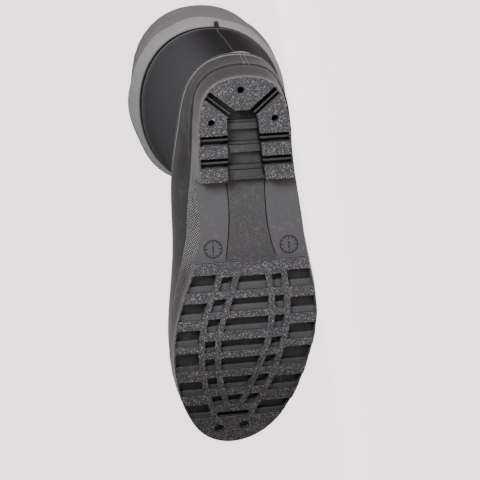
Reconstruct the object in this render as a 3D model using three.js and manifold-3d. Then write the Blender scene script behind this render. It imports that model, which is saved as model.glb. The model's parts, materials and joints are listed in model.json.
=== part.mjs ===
// A right wader boot: a moulded PVC boot on a lugged sole, with the lower leg of neoprene that comes out of it.
// Millimetres. The boot is drawn upright on its sole: X runs from the back of the heel to the toe, Y to the
// medial side (the big toe's side) and Z up the shaft, from the plane that heel and forefoot stand on.
// The last lines lay it on its lateral side, with +Z up.
import * as THREE from 'three';
import { mergeVertices } from 'three/addons/utils/BufferGeometryUtils.js';
import Module from 'manifold-3d';

const wasm = await Module();
wasm.setup();

// Sole
const SOLE_LENGTH = 309.5;
const BALL_WIDTH = 118.5;
const HEEL_SOLE = 26; // thickness of the sole at the heel, tread included
const TOE_SPRING = 8;
const TREAD_DEPTH = 7;
const SHELF_DEPTH = 3.4; // each groove has a shallower shelf on its toe side
const RAIL_WIDTH = 4.8;
const EDGE_WALL = 1.2; // what closes a groove at the sole's edge
const MOUTH_DEPTH = 2.2; // how deep the lateral grooves cut through that wall
const DRAFT = 0.5; // how much a groove narrows on each side from tread to floor
const HOLE_TAPER = 0.9; // a round hole's radius at its floor, as a share of its radius at the tread
const OVERCUT = 4; // how far the cutters start below the tread
const HEEL_LENGTH = 81.8; // from the heel's back to its breast
const HEEL_WIDTH = 74;
const HEEL_GROOVE_DEPTH = 11;
const RIB_DEPTH = 3; // the thin rib in each groove of the heel lies this deep
const RIB_WIDTH = 1.3;
const CHANNEL_FLOOR_DEPTH = 12;
const CHANNEL_SHELF_DEPTH = 9;
const CHANNEL_BAR_DEPTH = 6.2;
const DIAGONAL_WIDTH = 7.3;
const DIAGONAL_RIB = 3.9; // from the groove's heel side to its rib
const DIAGONAL_START = 3; // how far inside the channel the diagonals start
const DIAGONAL_ANGLE = THREE.MathUtils.degToRad(130);
const PIN_HOLE_RADIUS = 2.9;
const PIN_HOLE_DEPTH = 15;
const TOE_PIT_RADIUS = 4.2;
const TOE_PIT_DEPTH = 4.5;
const WAIST_START_DEPTH = 14.5;
const WAIST_END_DEPTH = 4.2;
const WAIST_HOLLOW = 0.35; // how much the waist's floor bows towards the foot
const PANEL_LINE_WIDTH = 0.9;
const PANEL_LINE_DEPTH = 0.9;

// Upper
const WALL = 2.6;
const INSTEP_HEIGHT = 95; // top of the instep above the sole, in front of the shaft
const SHAFT_HEIGHT = 270;
const RIM_LENGTH = 152;
const RIM_WIDTH = 135;
const SEAT_GAP = 0.3;
const FOXING_STEP = 1.2; // how far the sole's edge stands proud of the upper
const COUNTER_TOP = 58;
const COUNTER_STEP = 1.1;
const COUNTER_BEAD = 1.7; // the bead along the counter's top, beyond the step
const BEAD_HEIGHT = 5;
const BEAD_SLOPE = 2; // height over which the bead swells
const COUNTER_LENGTH = 100;
const SPUR_REACH = 3.6;
const SPUR_WIDTH = 21;
const SPUR_HEIGHT = 3;
const SPUR_RISE = 3.5; // how far the spur sits above the counter
const SEAM_OFFSET = -8; // the back seam, with the spur on it, lies to the lateral side of the shaft's middle
const LIP_HEIGHT = 5;
const LIP_STEP = 2.2;
const EDGE_SLOPE = 0.8; // height over which the counter, the spur and the lip step out

// Insole
const INSOLE_THICKNESS = 4;
const INSOLE_CLEARANCE = 0.5;

// Neoprene leg
const NEOPRENE = 4.5;
const LEG_RISE = 165; // how far the leg stands above the rim
const LEG_TUCK = 62; // how far it goes down inside the shaft
const LEG_CLEARANCE = 0.4;
const FOLD_REACH = 17; // how far the fold hangs out over the rim
const HEM_HEIGHT = 14;
const HEM_STEP = 1.1;
const PATCH_WIDTH = 4.5;
const PATCH_THICKNESS = 1.2;
const PATCH_LENGTH = 9;

// How finely the forms are drawn
const SOLE_STATIONS = 34;
const UPPER_STATIONS = 24;
const WAIST_STEPS = 14;
const HOLE_SIDES = 14;
const ARCH_STEPS = 5;
const FEATHER_STATIONS = 120;
const CROWDING = 0.45; // crowds the stations towards heel and toe, from 0 to 1

const PVC_DENSITY = 1.25e-6; // kg per cubic millimetre
const NEOPRENE_DENSITY = 0.3e-6;

// The edge of the tread: along is a share of the sole's length, the sides are shares of the ball width from the
// heel's centre line, and each flare is how much wider the top of the sole is there, also in shares of it.
const OUTLINE = [
  { along: 0.0, medial: 0.0, lateral: 0.0, medialFlare: 0.045, lateralFlare: 0.045 },
  { along: 0.0118, medial: 0.16, lateral: -0.16, medialFlare: 0.044, lateralFlare: 0.044 },
  { along: 0.0444, medial: 0.259, lateral: -0.245, medialFlare: 0.036, lateralFlare: 0.022 },
  { along: 0.0987, medial: 0.296, lateral: -0.287, medialFlare: 0.03, lateralFlare: 0.022 },
  { along: 0.1974, medial: 0.314, lateral: -0.309, medialFlare: 0.032, lateralFlare: 0.022 },
  { along: 0.2665, medial: 0.306, lateral: -0.324, medialFlare: 0.06, lateralFlare: 0.022 },
  { along: 0.3405, medial: 0.286, lateral: -0.352, medialFlare: 0.11, lateralFlare: 0.022 },
  { along: 0.4244, medial: 0.306, lateral: -0.373, medialFlare: 0.106, lateralFlare: 0.022 },
  { along: 0.5133, medial: 0.409, lateral: -0.409, medialFlare: 0.062, lateralFlare: 0.024 },
  { along: 0.612, medial: 0.503, lateral: -0.449, medialFlare: 0.04, lateralFlare: 0.02 },
  { along: 0.6911, medial: 0.547, lateral: -0.434, medialFlare: 0.03, lateralFlare: 0.02 },
  { along: 0.7764, medial: 0.553, lateral: -0.371, medialFlare: 0.022, lateralFlare: 0.02 },
  { along: 0.853, medial: 0.524, lateral: -0.295, medialFlare: 0.014, lateralFlare: 0.02 },
  { along: 0.9153, medial: 0.468, lateral: -0.199, medialFlare: 0.01, lateralFlare: 0.02 },
  { along: 0.9627, medial: 0.393, lateral: -0.083, medialFlare: 0.008, lateralFlare: 0.014 },
  { along: 0.9893, medial: 0.299, lateral: 0.033, medialFlare: 0.008, lateralFlare: 0.014 },
  { along: 1.0, medial: 0.175, lateral: 0.175, medialFlare: 0.008, lateralFlare: 0.008 },
].map((row) => ({ ...row, turn: Math.acos(1 - 2 * row.along) / Math.PI }));

// The sole's side from the tread up: lift is a share of its thickness, flare a share of the table's flare.
const SOLE_SIDE = [
  { lift: 0, flare: 0 },
  { lift: 0.2, flare: 0.16 },
  { lift: 0.42, flare: 0.4 },
  { lift: 0.68, flare: 0.78 },
  { lift: 0.86, flare: 0.98 },
  { lift: 1, flare: 1 },
];

// The sole's top above the floor, as a share of its thickness at the heel.
const SOLE_TOP = [
  { along: -0.1, top: 1 },
  { along: 0.2566, top: 1 },
  { along: 0.4146, top: 0.86 },
  { along: 0.5725, top: 0.7 },
  { along: 0.7916, top: 0.66 },
  { along: 1.1, top: 0.69 },
];
const SPRING_START = 0.65;

// Grooves across the forefoot, as shares of the sole's length: the deep part runs from heel to shelf.
const SIDE_GROOVES = [
  { heel: 0.5103, shelf: 0.5429, toe: 0.5577 },
  { heel: 0.5863, shelf: 0.6189, toe: 0.6337 },
  { heel: 0.6604, shelf: 0.6921, toe: 0.705 },
  { heel: 0.725, shelf: 0.7663, toe: 0.7774 },
  { heel: 0.8079, shelf: 0.8375, toe: 0.8509 },
  { heel: 0.8788, shelf: 0.909, toe: 0.9205 },
];
const CENTRE_GROOVES = [
  { heel: 0.5182, shelf: 0.5399, toe: 0.5577 },
  { heel: 0.5784, shelf: 0.6011, toe: 0.6149 },
  { heel: 0.6327, shelf: 0.6584, toe: 0.6703 },
  { heel: 0.6941, shelf: 0.718, toe: 0.727 },
  { heel: 0.7451, shelf: 0.7703, toe: 0.7804 },
  { heel: 0.7997, shelf: 0.8263, toe: 0.8355 },
  { heel: 0.855, shelf: 0.8778, toe: 0.8861 },
];
const TOE_SLOT = { heel: 0.9048, toe: 0.9216 };
const TOE_PITS = [
  { along: 0.9564, across: 0.262 },
  { along: 0.9511, across: 0.083 },
];

// The four rails that run along the forefoot, as shares of the ball width.
const RAILS = [
  { along: 0.4935, outerMedial: 0.198, innerMedial: 0.08, innerLateral: -0.112, outerLateral: -0.221 },
  { along: 0.5577, outerMedial: 0.25, innerMedial: 0.131, innerLateral: -0.131, outerLateral: -0.237 },
  { along: 0.614, outerMedial: 0.312, innerMedial: 0.182, innerLateral: -0.137, outerLateral: -0.245 },
  { along: 0.6911, outerMedial: 0.353, innerMedial: 0.241, innerLateral: -0.11, outerLateral: -0.219 },
  { along: 0.7703, outerMedial: 0.362, innerMedial: 0.251, innerLateral: -0.042, outerLateral: -0.154 },
  { along: 0.8437, outerMedial: 0.337, innerMedial: 0.228, innerLateral: 0.046, outerLateral: -0.076 },
  { along: 0.9048, outerMedial: 0.298, innerMedial: 0.18, innerLateral: 0.126, outerLateral: 0.02 },
  { along: 0.9468, outerMedial: 0.27, innerMedial: 0.15, innerLateral: 0.16, outerLateral: 0.06 },
];

// Grooves and bars of the heel, as shares of the heel's length.
const HEEL_GROOVES = [
  { heel: 0.548, rib: 0.586, toe: 0.643 },
  { heel: 0.768, rib: 0.808, toe: 0.866 },
];
const CHANNEL_BARS = [
  { heel: 0.424, bar: 0.446, toe: 0.506 },
  { heel: 0.637, bar: 0.663, toe: 0.732 },
  { heel: 0.866, bar: 0.91, toe: 1 },
];
const ARCH_FULLNESS = 0.85; // how full the round end of the channel is, 1 for square corners
const OVERLAP = 1; // how far neighbouring cuts of the heel run into each other
const CHANNEL = { back: 0.31, corner: 0.395, rearHalf: 0.165, frontHalf: 0.203, rearCentre: 0.024 };
const DIAGONAL_FOOT = { along: 0.32, across: 0.068 };
const PIN_HOLES = [
  { along: 0.122, across: 0.031 },
  { along: 0.423, across: 0.352 },
  { along: 0.41, across: -0.318 },
];

const WAIST_END = 0.4792; // where the forefoot's tread starts, as a share of the sole's length

// The lines that bound the panel in the middle of the waist: along is a share of the sole's length.
const PANEL_LINES = [
  { along: 0.2566, medial: 0.134, lateral: -0.13 },
  { along: 0.3317, medial: 0.123, lateral: -0.126 },
  { along: 0.383, medial: 0.128, lateral: -0.132 },
  { along: 0.4343, medial: 0.144, lateral: -0.152 },
  { along: 0.4935, medial: 0.17, lateral: -0.199 },
];

// The line of the boot's top from ankle to toe: along is a share of the sole's length, rise one of the instep
// height and centre one of the ball width.
const RIDGE = [
  { along: 0.0, rise: 0.62, centre: 0.0 },
  { along: 0.0987, rise: 1.0, centre: 0.0 },
  { along: 0.2961, rise: 1.55, centre: 0.0 },
  { along: 0.4146, rise: 1.62, centre: 0.005 },
  { along: 0.459, rise: 1.32, centre: 0.01 },
  { along: 0.4886, rise: 1.1, centre: 0.016 },
  { along: 0.5232, rise: 0.94, centre: 0.026 },
  { along: 0.5725, rise: 0.8, centre: 0.045 },
  { along: 0.6416, rise: 0.685, centre: 0.075 },
  { along: 0.731, rise: 0.6, centre: 0.11 },
  { along: 0.8324, rise: 0.53, centre: 0.145 },
  { along: 0.9153, rise: 0.46, centre: 0.165 },
  { along: 0.9627, rise: 0.37, centre: 0.172 },
  { along: 0.9872, rise: 0.26, centre: 0.175 },
  { along: 0.9968, rise: 0.13, centre: 0.175 },
  { along: 1.0, rise: 0.0, centre: 0.175 },
];
const DOME_POWER = 2.5;
const DOME_ROOT = 2.1;
const OVAL_POWER = 2.15;

// The shaft from the sole up: up is a share of the shaft's height, back and front of the rim's length, and the
// sides of the rim's width.
const SHAFT = [
  { up: 0.05, back: -0.029, front: 0.66, medial: 0.272, lateral: 0.258 },
  { up: 0.15, back: -0.043, front: 0.72, medial: 0.307, lateral: 0.283 },
  { up: 0.215, back: -0.051, front: 0.79, medial: 0.335, lateral: 0.3 },
  { up: 0.29, back: -0.041, front: 0.85, medial: 0.358, lateral: 0.317 },
  { up: 0.4, back: -0.022, front: 0.895, medial: 0.388, lateral: 0.342 },
  { up: 0.52, back: -0.014, front: 0.92, medial: 0.423, lateral: 0.382 },
  { up: 0.7, back: -0.01, front: 0.955, medial: 0.466, lateral: 0.434 },
  { up: 0.88, back: -0.005, front: 0.985, medial: 0.502, lateral: 0.476 },
  { up: 1, back: 0, front: 1, medial: 0.516, lateral: 0.486 },
];

// How much the upper swells past the sole's edge, by height above it in shares of the instep height.
const SWELL = [
  { rise: 0, waist: 0, forefoot: 0 },
  { rise: 0.12, waist: 4.4, forefoot: 1.8 },
  { rise: 0.28, waist: 7.6, forefoot: 3.4 },
  { rise: 0.5, waist: 6.4, forefoot: 2 },
  { rise: 0.8, waist: 3.2, forefoot: 0 },
  { rise: 1.2, waist: 0, forefoot: 0 },
];

// Heights of the upper's rings above the sole, in shares of the instep height, and of the shaft's rings.
const FOOT_RINGS = [
  0, 0.055, 0.12, 0.19, 0.26, 0.385, 0.43, 0.475, 0.52, 0.565, 0.61, 0.67, 0.74, 0.83, 0.94, 1.08, 1.24,
];
const LINING_RINGS = [0.12, 0.24, 0.35, 0.44, 0.52, 0.6, 0.7, 0.82, 0.96, 1.12, 1.3];
const SHAFT_RINGS = [0.62, 0.75, 0.87];

// The leg above the rim: up is a share of its rise, the others are shares of the fold's reach past the rim. The
// folds are pressed flat where they lie on the floor, so the lateral column follows the floor's slope. The
// front stands out as far as the back.
const LEG_FOLDS = [
  { up: 0.02, back: -0.22, medial: -0.22, lateral: -0.22 },
  { up: 0.036, back: 0.1, medial: 0.14, lateral: 0.08 },
  { up: 0.07, back: 0.32, medial: 0.53, lateral: 0.4 },
  { up: 0.13, back: 0.45, medial: 0.77, lateral: 0.54 },
  { up: 0.2, back: 0.49, medial: 0.85, lateral: 0.56 },
  { up: 0.28, back: 0.45, medial: 0.77, lateral: 0.54 },
  { up: 0.345, back: 0.3, medial: 0.56, lateral: 0.46 },
  { up: 0.385, back: 0.27, medial: 0.48, lateral: 0.48 },
  { up: 0.425, back: 0.32, medial: 0.53, lateral: 0.62 },
  { up: 0.49, back: 0.42, medial: 0.66, lateral: 0.8 },
  { up: 0.57, back: 0.4, medial: 0.65, lateral: 0.84 },
  { up: 0.67, back: 0.32, medial: 0.49, lateral: 0.72 },
  { up: 0.79, back: 0.29, medial: 0.36, lateral: 0.56 },
  { up: 1.0, back: 0.29, medial: 0.34, lateral: 0.5 },
];

// One column of a table at a place between its rows, on a smooth curve through them.
function read(table, key, column, at) {
  const last = table.length - 1;
  let low = 0;
  while (low < last - 1 && at > table[low + 1][key]) low += 1;
  const slope = (row) => {
    const before = table[Math.max(row - 1, 0)];
    const after = table[Math.min(row + 1, last)];
    return (after[column] - before[column]) / (after[key] - before[key]);
  };
  const span = table[low + 1][key] - table[low][key];
  const t = THREE.MathUtils.clamp((at - table[low][key]) / span, 0, 1);
  const first = table[low][column];
  const second = table[low + 1][column];
  const ends = (1 - t) * (1 - t) * (1 + 2 * t) * first + t * t * (3 - 2 * t) * second;
  return ends + span * t * (1 - t) * ((1 - t) * slope(low) - t * slope(low + 1));
}

// Stations from 0 at the heel to 1 at the toe, crowded towards both ends, and the share of a length at each.
function stationTurn(index, count) {
  const even = index / count;
  return even - (CROWDING * Math.sin(2 * Math.PI * even)) / (2 * Math.PI);
}
const shareAt = (turn) => (1 - Math.cos(Math.PI * turn)) / 2;

const soleTop = (x) => HEEL_SOLE * read(SOLE_TOP, 'along', 'top', x / SOLE_LENGTH);

function spring(x) {
  const past = Math.max(0, x / SOLE_LENGTH - SPRING_START) / (1 - SPRING_START);
  return TOE_SPRING * past * past;
}

// The sole's edge as a closed line, heel, medial side, toe, lateral side, moved outwards by flare and margin.
function soleOutline(flare, margin, stations) {
  const line = [];
  for (let i = 0; i < 2 * stations; i += 1) {
    const medialSide = i <= stations;
    const turn = stationTurn(medialSide ? i : 2 * stations - i, stations);
    const side = medialSide ? 'medial' : 'lateral';
    line.push({
      at: new THREE.Vector2(shareAt(turn) * SOLE_LENGTH, read(OUTLINE, 'turn', side, turn) * BALL_WIDTH),
      out: flare * read(OUTLINE, 'turn', `${side}Flare`, turn) * BALL_WIDTH + margin,
    });
  }
  return line.map(({ at, out }, i) => {
    const before = line[(i + line.length - 1) % line.length].at;
    const after = line[(i + 1) % line.length].at;
    const along = new THREE.Vector2().subVectors(after, before).normalize();
    return new THREE.Vector2(at.x - along.y * out, at.y + along.x * out);
  });
}

// A closed mesh from triangles given as triples of points.
function meshOf(points, faces) {
  const geometry = new THREE.BufferGeometry();
  const places = points.flatMap((p) => [p.x, p.y, p.z]);
  geometry.setAttribute('position', new THREE.Float32BufferAttribute(places, 3));
  geometry.setIndex(faces);
  return geometry;
}

// Rings run heel, medial, toe, lateral, clockwise from above. Walls join each ring to the next one above it.
function wallFaces(rings, closed) {
  const size = rings[0].length;
  const faces = [];
  const rows = closed ? rings.length : rings.length - 1;
  for (let row = 0; row < rows; row += 1) {
    const low = row * size;
    const high = ((row + 1) % rings.length) * size;
    for (let i = 0; i < size; i += 1) {
      const next = (i + 1) % size;
      faces.push(low + i, high + i, low + next, low + next, high + i, high + next);
    }
  }
  return faces;
}

// A solid slab: its ends are covered by strips from the medial to the lateral side.
function slab(rings) {
  const size = rings[0].length;
  const faces = wallFaces(rings, false);
  const top = (rings.length - 1) * size;
  for (let i = 0; i < size / 2; i += 1) {
    const strip = [i, i + 1, size - i - 1, (size - i) % size];
    const corners = strip.filter((corner, at) => strip.indexOf(corner) === at);
    for (let c = 1; c + 1 < corners.length; c += 1) {
      faces.push(corners[0], corners[c], corners[c + 1]);
      faces.push(top + corners[0], top + corners[c + 1], top + corners[c]);
    }
  }
  return meshOf(rings.flat(), faces);
}

// A hollow wall: the rings go up its outside and down its inside.
const hollow = (rings) => meshOf(rings.flat(), wallFaces(rings, true));

function toSolid(geometry) {
  const bare = geometry.clone();
  bare.deleteAttribute('normal');
  bare.deleteAttribute('uv');
  const merged = mergeVertices(bare, 1e-4);
  const mesh = new wasm.Mesh({
    numProp: 3,
    vertProperties: new Float32Array(merged.attributes.position.array),
    triVerts: new Uint32Array(merged.index.array),
  });
  return new wasm.Manifold(mesh);
}

function toGeometry(solid) {
  const mesh = solid.getMesh();
  const geometry = new THREE.BufferGeometry();
  geometry.setAttribute('position', new THREE.BufferAttribute(new Float32Array(mesh.vertProperties), 3));
  geometry.setIndex(new THREE.BufferAttribute(new Uint32Array(mesh.triVerts), 1));
  return geometry;
}

// A cutter with the given corners in plan, from below the tread up to the depth, narrowing by the draft.
function cutter(corners, depth) {
  const shape = new THREE.Shape(corners);
  const geometry = new THREE.ExtrudeGeometry(shape, { depth: depth + OVERCUT, bevelEnabled: false });
  const middle = corners.reduce((sum, c) => sum.add(c), new THREE.Vector2()).divideScalar(corners.length);
  const position = geometry.attributes.position;
  for (let i = 0; i < position.count; i += 1) {
    const top = position.getZ(i) > 0;
    const shift = new THREE.Vector2(middle.x - position.getX(i), middle.y - position.getY(i));
    const move = top ? Math.min(DRAFT, shift.length() / 4) / Math.max(shift.length(), 1) : 0;
    position.setXY(i, position.getX(i) + shift.x * move, position.getY(i) + shift.y * move);
    position.setZ(i, top ? depth : -OVERCUT);
  }
  return toSolid(geometry);
}

// A groove between two lines that run along the sole, each a function of x, with its shelf on the toe side.
function groove(row, length, from, to, depths) {
  const quad = (start, end) => [
    new THREE.Vector2(start, from(start)),
    new THREE.Vector2(end, from(end)),
    new THREE.Vector2(end, to(end)),
    new THREE.Vector2(start, to(start)),
  ];
  const start = row.heel * length;
  const shelf = row.shelf * length;
  const end = row.toe * length;
  return [cutter(quad(start, shelf), depths.floor), cutter(quad((start + shelf) / 2, end), depths.shelf)];
}

// One edge of a rail as a function of x.
function railAt(name, side) {
  return (x) => read(RAILS, 'along', name, x / SOLE_LENGTH) * BALL_WIDTH + (side * RAIL_WIDTH) / 2;
}

// The forefoot: rows of grooves between the rails and out to both edges.
function forefootCutters() {
  const depths = { floor: TREAD_DEPTH, shelf: SHELF_DEPTH };
  const mouth = { floor: MOUTH_DEPTH, shelf: MOUTH_DEPTH / 2 };
  const beyond = BALL_WIDTH;
  const closed = [];
  const open = [];
  for (const row of CENTRE_GROOVES) {
    closed.push(...groove(row, SOLE_LENGTH, railAt('innerMedial', 1), railAt('outerMedial', -1), depths));
    closed.push(...groove(row, SOLE_LENGTH, railAt('innerLateral', 1), railAt('innerMedial', -1), depths));
    closed.push(...groove(row, SOLE_LENGTH, railAt('outerLateral', 1), railAt('innerLateral', -1), depths));
  }
  for (const row of SIDE_GROOVES) {
    closed.push(...groove(row, SOLE_LENGTH, railAt('outerMedial', 1), () => beyond, depths));
    closed.push(...groove(row, SOLE_LENGTH, () => -beyond, railAt('outerLateral', -1), depths));
    open.push(...groove(row, SOLE_LENGTH, () => -beyond, railAt('outerLateral', -1), mouth));
  }
  const slotFrom = railAt('outerLateral', 1);
  const slotTo = railAt('outerMedial', -1);
  const slotEnds = [TOE_SLOT.heel * SOLE_LENGTH, TOE_SLOT.toe * SOLE_LENGTH];
  closed.push(cutter([
    new THREE.Vector2(slotEnds[0], slotFrom(slotEnds[0])),
    new THREE.Vector2(slotEnds[1], slotFrom(slotEnds[1])),
    new THREE.Vector2(slotEnds[1], slotTo(slotEnds[1])),
    new THREE.Vector2(slotEnds[0], slotTo(slotEnds[0])),
  ], TREAD_DEPTH));
  for (const pit of TOE_PITS) {
    closed.push(roundCutter(pit.along * SOLE_LENGTH, pit.across * BALL_WIDTH, TOE_PIT_RADIUS, TOE_PIT_DEPTH));
  }
  return { closed, open };
}

function roundCutter(x, y, radius, depth) {
  const geometry = new THREE.CylinderGeometry(radius * HOLE_TAPER, radius, depth + OVERCUT, HOLE_SIDES);
  geometry.rotateX(Math.PI / 2);
  geometry.translate(x, y, (depth - OVERCUT) / 2);
  return toSolid(geometry);
}

// The heel: a channel with three crossbars, two diagonal grooves behind it and two grooves on each side.
function heelCutters() {
  const cutters = [];
  const rearY = CHANNEL.rearCentre * HEEL_WIDTH;
  const rearHalf = CHANNEL.rearHalf * HEEL_WIDTH;
  const frontHalf = CHANNEL.frontHalf * HEEL_WIDTH;
  const cornerX = CHANNEL.corner * HEEL_LENGTH;
  const backX = CHANNEL.back * HEEL_LENGTH;
  const half = (x) => rearHalf + (frontHalf - rearHalf) * ((x - cornerX) / (HEEL_LENGTH - cornerX));
  const centre = (x) => rearY * (1 - (x - cornerX) / (HEEL_LENGTH - cornerX));
  // The channel's plan: a round arch at its back, widened by grow, and straight sides up to a given end.
  const arch = (end, endHalf, grow) => {
    const shape = new THREE.Shape();
    const wide = rearHalf + grow;
    const endY = rearY * (1 - (end - cornerX) / (HEEL_LENGTH - cornerX));
    shape.moveTo(end, endY - endHalf - grow);
    shape.lineTo(end, endY + endHalf + grow);
    shape.lineTo(cornerX, rearY + wide);
    shape.quadraticCurveTo(backX - grow, rearY + wide * ARCH_FULLNESS, backX - grow, rearY);
    shape.quadraticCurveTo(backX - grow, rearY - wide * ARCH_FULLNESS, cornerX, rearY - wide);
    return shape.getPoints(ARCH_STEPS);
  };
  const firstBar = CHANNEL_BARS[0].heel * HEEL_LENGTH;
  cutters.push(cutter(arch(HEEL_LENGTH + OVERLAP, frontHalf, 0), CHANNEL_BAR_DEPTH));
  cutters.push(cutter(arch(firstBar, half(firstBar), -DRAFT), CHANNEL_FLOOR_DEPTH));
  const inner = (side) => (x) => centre(x) + side * (half(x) - DRAFT);
  const across = (start, end, depth) => cutter([
    new THREE.Vector2(start, inner(-1)(start)),
    new THREE.Vector2(end, inner(-1)(end)),
    new THREE.Vector2(end, inner(1)(end)),
    new THREE.Vector2(start, inner(1)(start)),
  ], depth);
  let pocketStart = firstBar - OVERLAP;
  for (const bar of CHANNEL_BARS) {
    cutters.push(across(pocketStart, bar.heel * HEEL_LENGTH, CHANNEL_FLOOR_DEPTH));
    cutters.push(across(bar.heel * HEEL_LENGTH - OVERLAP, bar.bar * HEEL_LENGTH, CHANNEL_SHELF_DEPTH));
    pocketStart = bar.toe * HEEL_LENGTH;
  }
  // Each groove of the heel has a thin low rib along it: two deep cuts and a shallow one over both.
  for (const row of HEEL_GROOVES) {
    const ends = { start: row.heel * HEEL_LENGTH, rib: row.rib * HEEL_LENGTH, end: row.toe * HEEL_LENGTH };
    for (const side of [1, -1]) {
      const inside = (x) => centre(x) + side * (half(x) - OVERLAP);
      const run = (start, end, depth) => {
        const corners = [
          new THREE.Vector2(start, side > 0 ? inside(start) : -BALL_WIDTH),
          new THREE.Vector2(end, side > 0 ? inside(end) : -BALL_WIDTH),
          new THREE.Vector2(end, side > 0 ? BALL_WIDTH : inside(end)),
          new THREE.Vector2(start, side > 0 ? BALL_WIDTH : inside(start)),
        ];
        return cutter(corners, depth);
      };
      cutters.push(run(ends.start, ends.rib, HEEL_GROOVE_DEPTH));
      cutters.push(run(ends.rib + RIB_WIDTH, ends.end, HEEL_GROOVE_DEPTH));
      cutters.push(run(ends.start, ends.end, RIB_DEPTH));
    }
  }
  for (const side of [1, -1]) {
    const footY = rearY + side * DIAGONAL_FOOT.across * HEEL_WIDTH;
    const foot = new THREE.Vector2(DIAGONAL_FOOT.along * HEEL_LENGTH, footY);
    const out = new THREE.Vector2(Math.cos(DIAGONAL_ANGLE), side * Math.sin(DIAGONAL_ANGLE));
    const over = new THREE.Vector2(Math.sin(DIAGONAL_ANGLE), -side * Math.cos(DIAGONAL_ANGLE));
    const strip = (start, end) => {
      const corners = [
        foot.clone().addScaledVector(over, start).addScaledVector(out, -DIAGONAL_START),
        foot.clone().addScaledVector(over, end).addScaledVector(out, -DIAGONAL_START),
        foot.clone().addScaledVector(over, end).addScaledVector(out, HEEL_WIDTH),
        foot.clone().addScaledVector(over, start).addScaledVector(out, HEEL_WIDTH),
      ];
      return side > 0 ? corners : corners.reverse();
    };
    cutters.push(cutter(strip(0, DIAGONAL_RIB), HEEL_GROOVE_DEPTH));
    cutters.push(cutter(strip(DIAGONAL_RIB + RIB_WIDTH, DIAGONAL_WIDTH), HEEL_GROOVE_DEPTH));
    cutters.push(cutter(strip(0, DIAGONAL_WIDTH), RIB_DEPTH));
  }
  for (const hole of PIN_HOLES) {
    const x = hole.along * HEEL_LENGTH;
    const y = hole.across * HEEL_WIDTH;
    cutters.push(roundCutter(x, y, PIN_HOLE_RADIUS, PIN_HOLE_DEPTH));
  }
  return cutters;
}

// The recess of the waist, from the heel's breast to the forefoot, and the two lines along it.
function waistDepth(x) {
  const share = (x - HEEL_LENGTH) / (WAIST_END * SOLE_LENGTH - HEEL_LENGTH);
  const bowed = share * (1 + WAIST_HOLLOW * (1 - share));
  return WAIST_START_DEPTH + (WAIST_END_DEPTH - WAIST_START_DEPTH) * bowed;
}

function waistCutters() {
  const end = WAIST_END * SOLE_LENGTH;
  const profile = [new THREE.Vector2(HEEL_LENGTH, -TREAD_DEPTH)];
  for (let i = 0; i <= WAIST_STEPS; i += 1) {
    const x = HEEL_LENGTH + ((end - HEEL_LENGTH) * i) / WAIST_STEPS;
    profile.push(new THREE.Vector2(x + (i === 0 ? DRAFT : 0), waistDepth(x)));
  }
  profile.push(new THREE.Vector2(end + DRAFT, -TREAD_DEPTH));
  const side = new THREE.Shape(profile);
  const recess = new THREE.ExtrudeGeometry(side, { depth: 2 * BALL_WIDTH, bevelEnabled: false });
  recess.rotateX(Math.PI / 2);
  recess.translate(0, BALL_WIDTH, 0);
  const cutters = [toSolid(recess)];
  const first = PANEL_LINES[0].along * SOLE_LENGTH;
  for (const column of ['medial', 'lateral']) {
    const edge = (step, shift) => {
      const x = first + ((end - 0.2 - first) * step) / WAIST_STEPS;
      return new THREE.Vector2(x, read(PANEL_LINES, 'along', column, x / SOLE_LENGTH) * BALL_WIDTH + shift);
    };
    const line = [];
    for (let step = 0; step < WAIST_STEPS; step += 1) line.push(edge(step, step ? PANEL_LINE_WIDTH / 2 : 0));
    for (let step = WAIST_STEPS; step > 0; step -= 1) {
      line.push(edge(step, step < WAIST_STEPS ? -PANEL_LINE_WIDTH / 2 : 0));
    }
    const lift = (p, z) => new THREE.Vector3(p.x, p.y, z);
    const below = line.map((p) => lift(p, -TREAD_DEPTH));
    const floor = line.map((p) => lift(p, waistDepth(p.x) + PANEL_LINE_DEPTH));
    cutters.push(toSolid(slab([below, floor])));
  }
  return cutters;
}

// The sole is cut flat, and its toe is bent up at the end.
function outsoleGeometry() {
  const raise = (line, lift) => line.map((p) => new THREE.Vector3(p.x, p.y, lift * soleTop(p.x)));
  const body = SOLE_SIDE.map(({ lift, flare }) => raise(soleOutline(flare, 0, SOLE_STATIONS), lift));
  const field = [-0.3, 0.95].map((lift) => raise(soleOutline(0, -EDGE_WALL, SOLE_STATIONS), lift));
  const forefoot = forefootCutters();
  const closed = wasm.Manifold.union([...forefoot.closed, ...heelCutters()]).intersect(toSolid(slab(field)));
  const cuts = wasm.Manifold.union([closed, ...forefoot.open, ...waistCutters()]);
  const geometry = toGeometry(toSolid(slab(body)).subtract(cuts));
  const position = geometry.attributes.position;
  for (let i = 0; i < position.count; i += 1) {
    position.setZ(i, position.getZ(i) + spring(position.getX(i)));
  }
  return geometry;
}

// The edge of the upper where it stands on the sole, as a function of the share of its length on each side.
const FEATHER = soleOutline(1, -FOXING_STEP, FEATHER_STATIONS);
const FEATHER_BACK = FEATHER[0].x;
const FEATHER_TOE = FEATHER[FEATHER.length / 2].x;
function featherEdge(side, share) {
  const half = FEATHER.length / 2;
  const line = side > 0 ? FEATHER.slice(0, half + 1) : [FEATHER[0], ...FEATHER.slice(half).reverse()];
  const x = FEATHER_BACK + THREE.MathUtils.clamp(share, 0, 1) * (FEATHER_TOE - FEATHER_BACK);
  let i = 0;
  while (i < line.length - 2 && x > line[i + 1].x) i += 1;
  const t = THREE.MathUtils.clamp((x - line[i].x) / Math.max(line[i + 1].x - line[i].x, 1e-6), 0, 1);
  return line[i].y + t * (line[i + 1].y - line[i].y);
}

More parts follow.
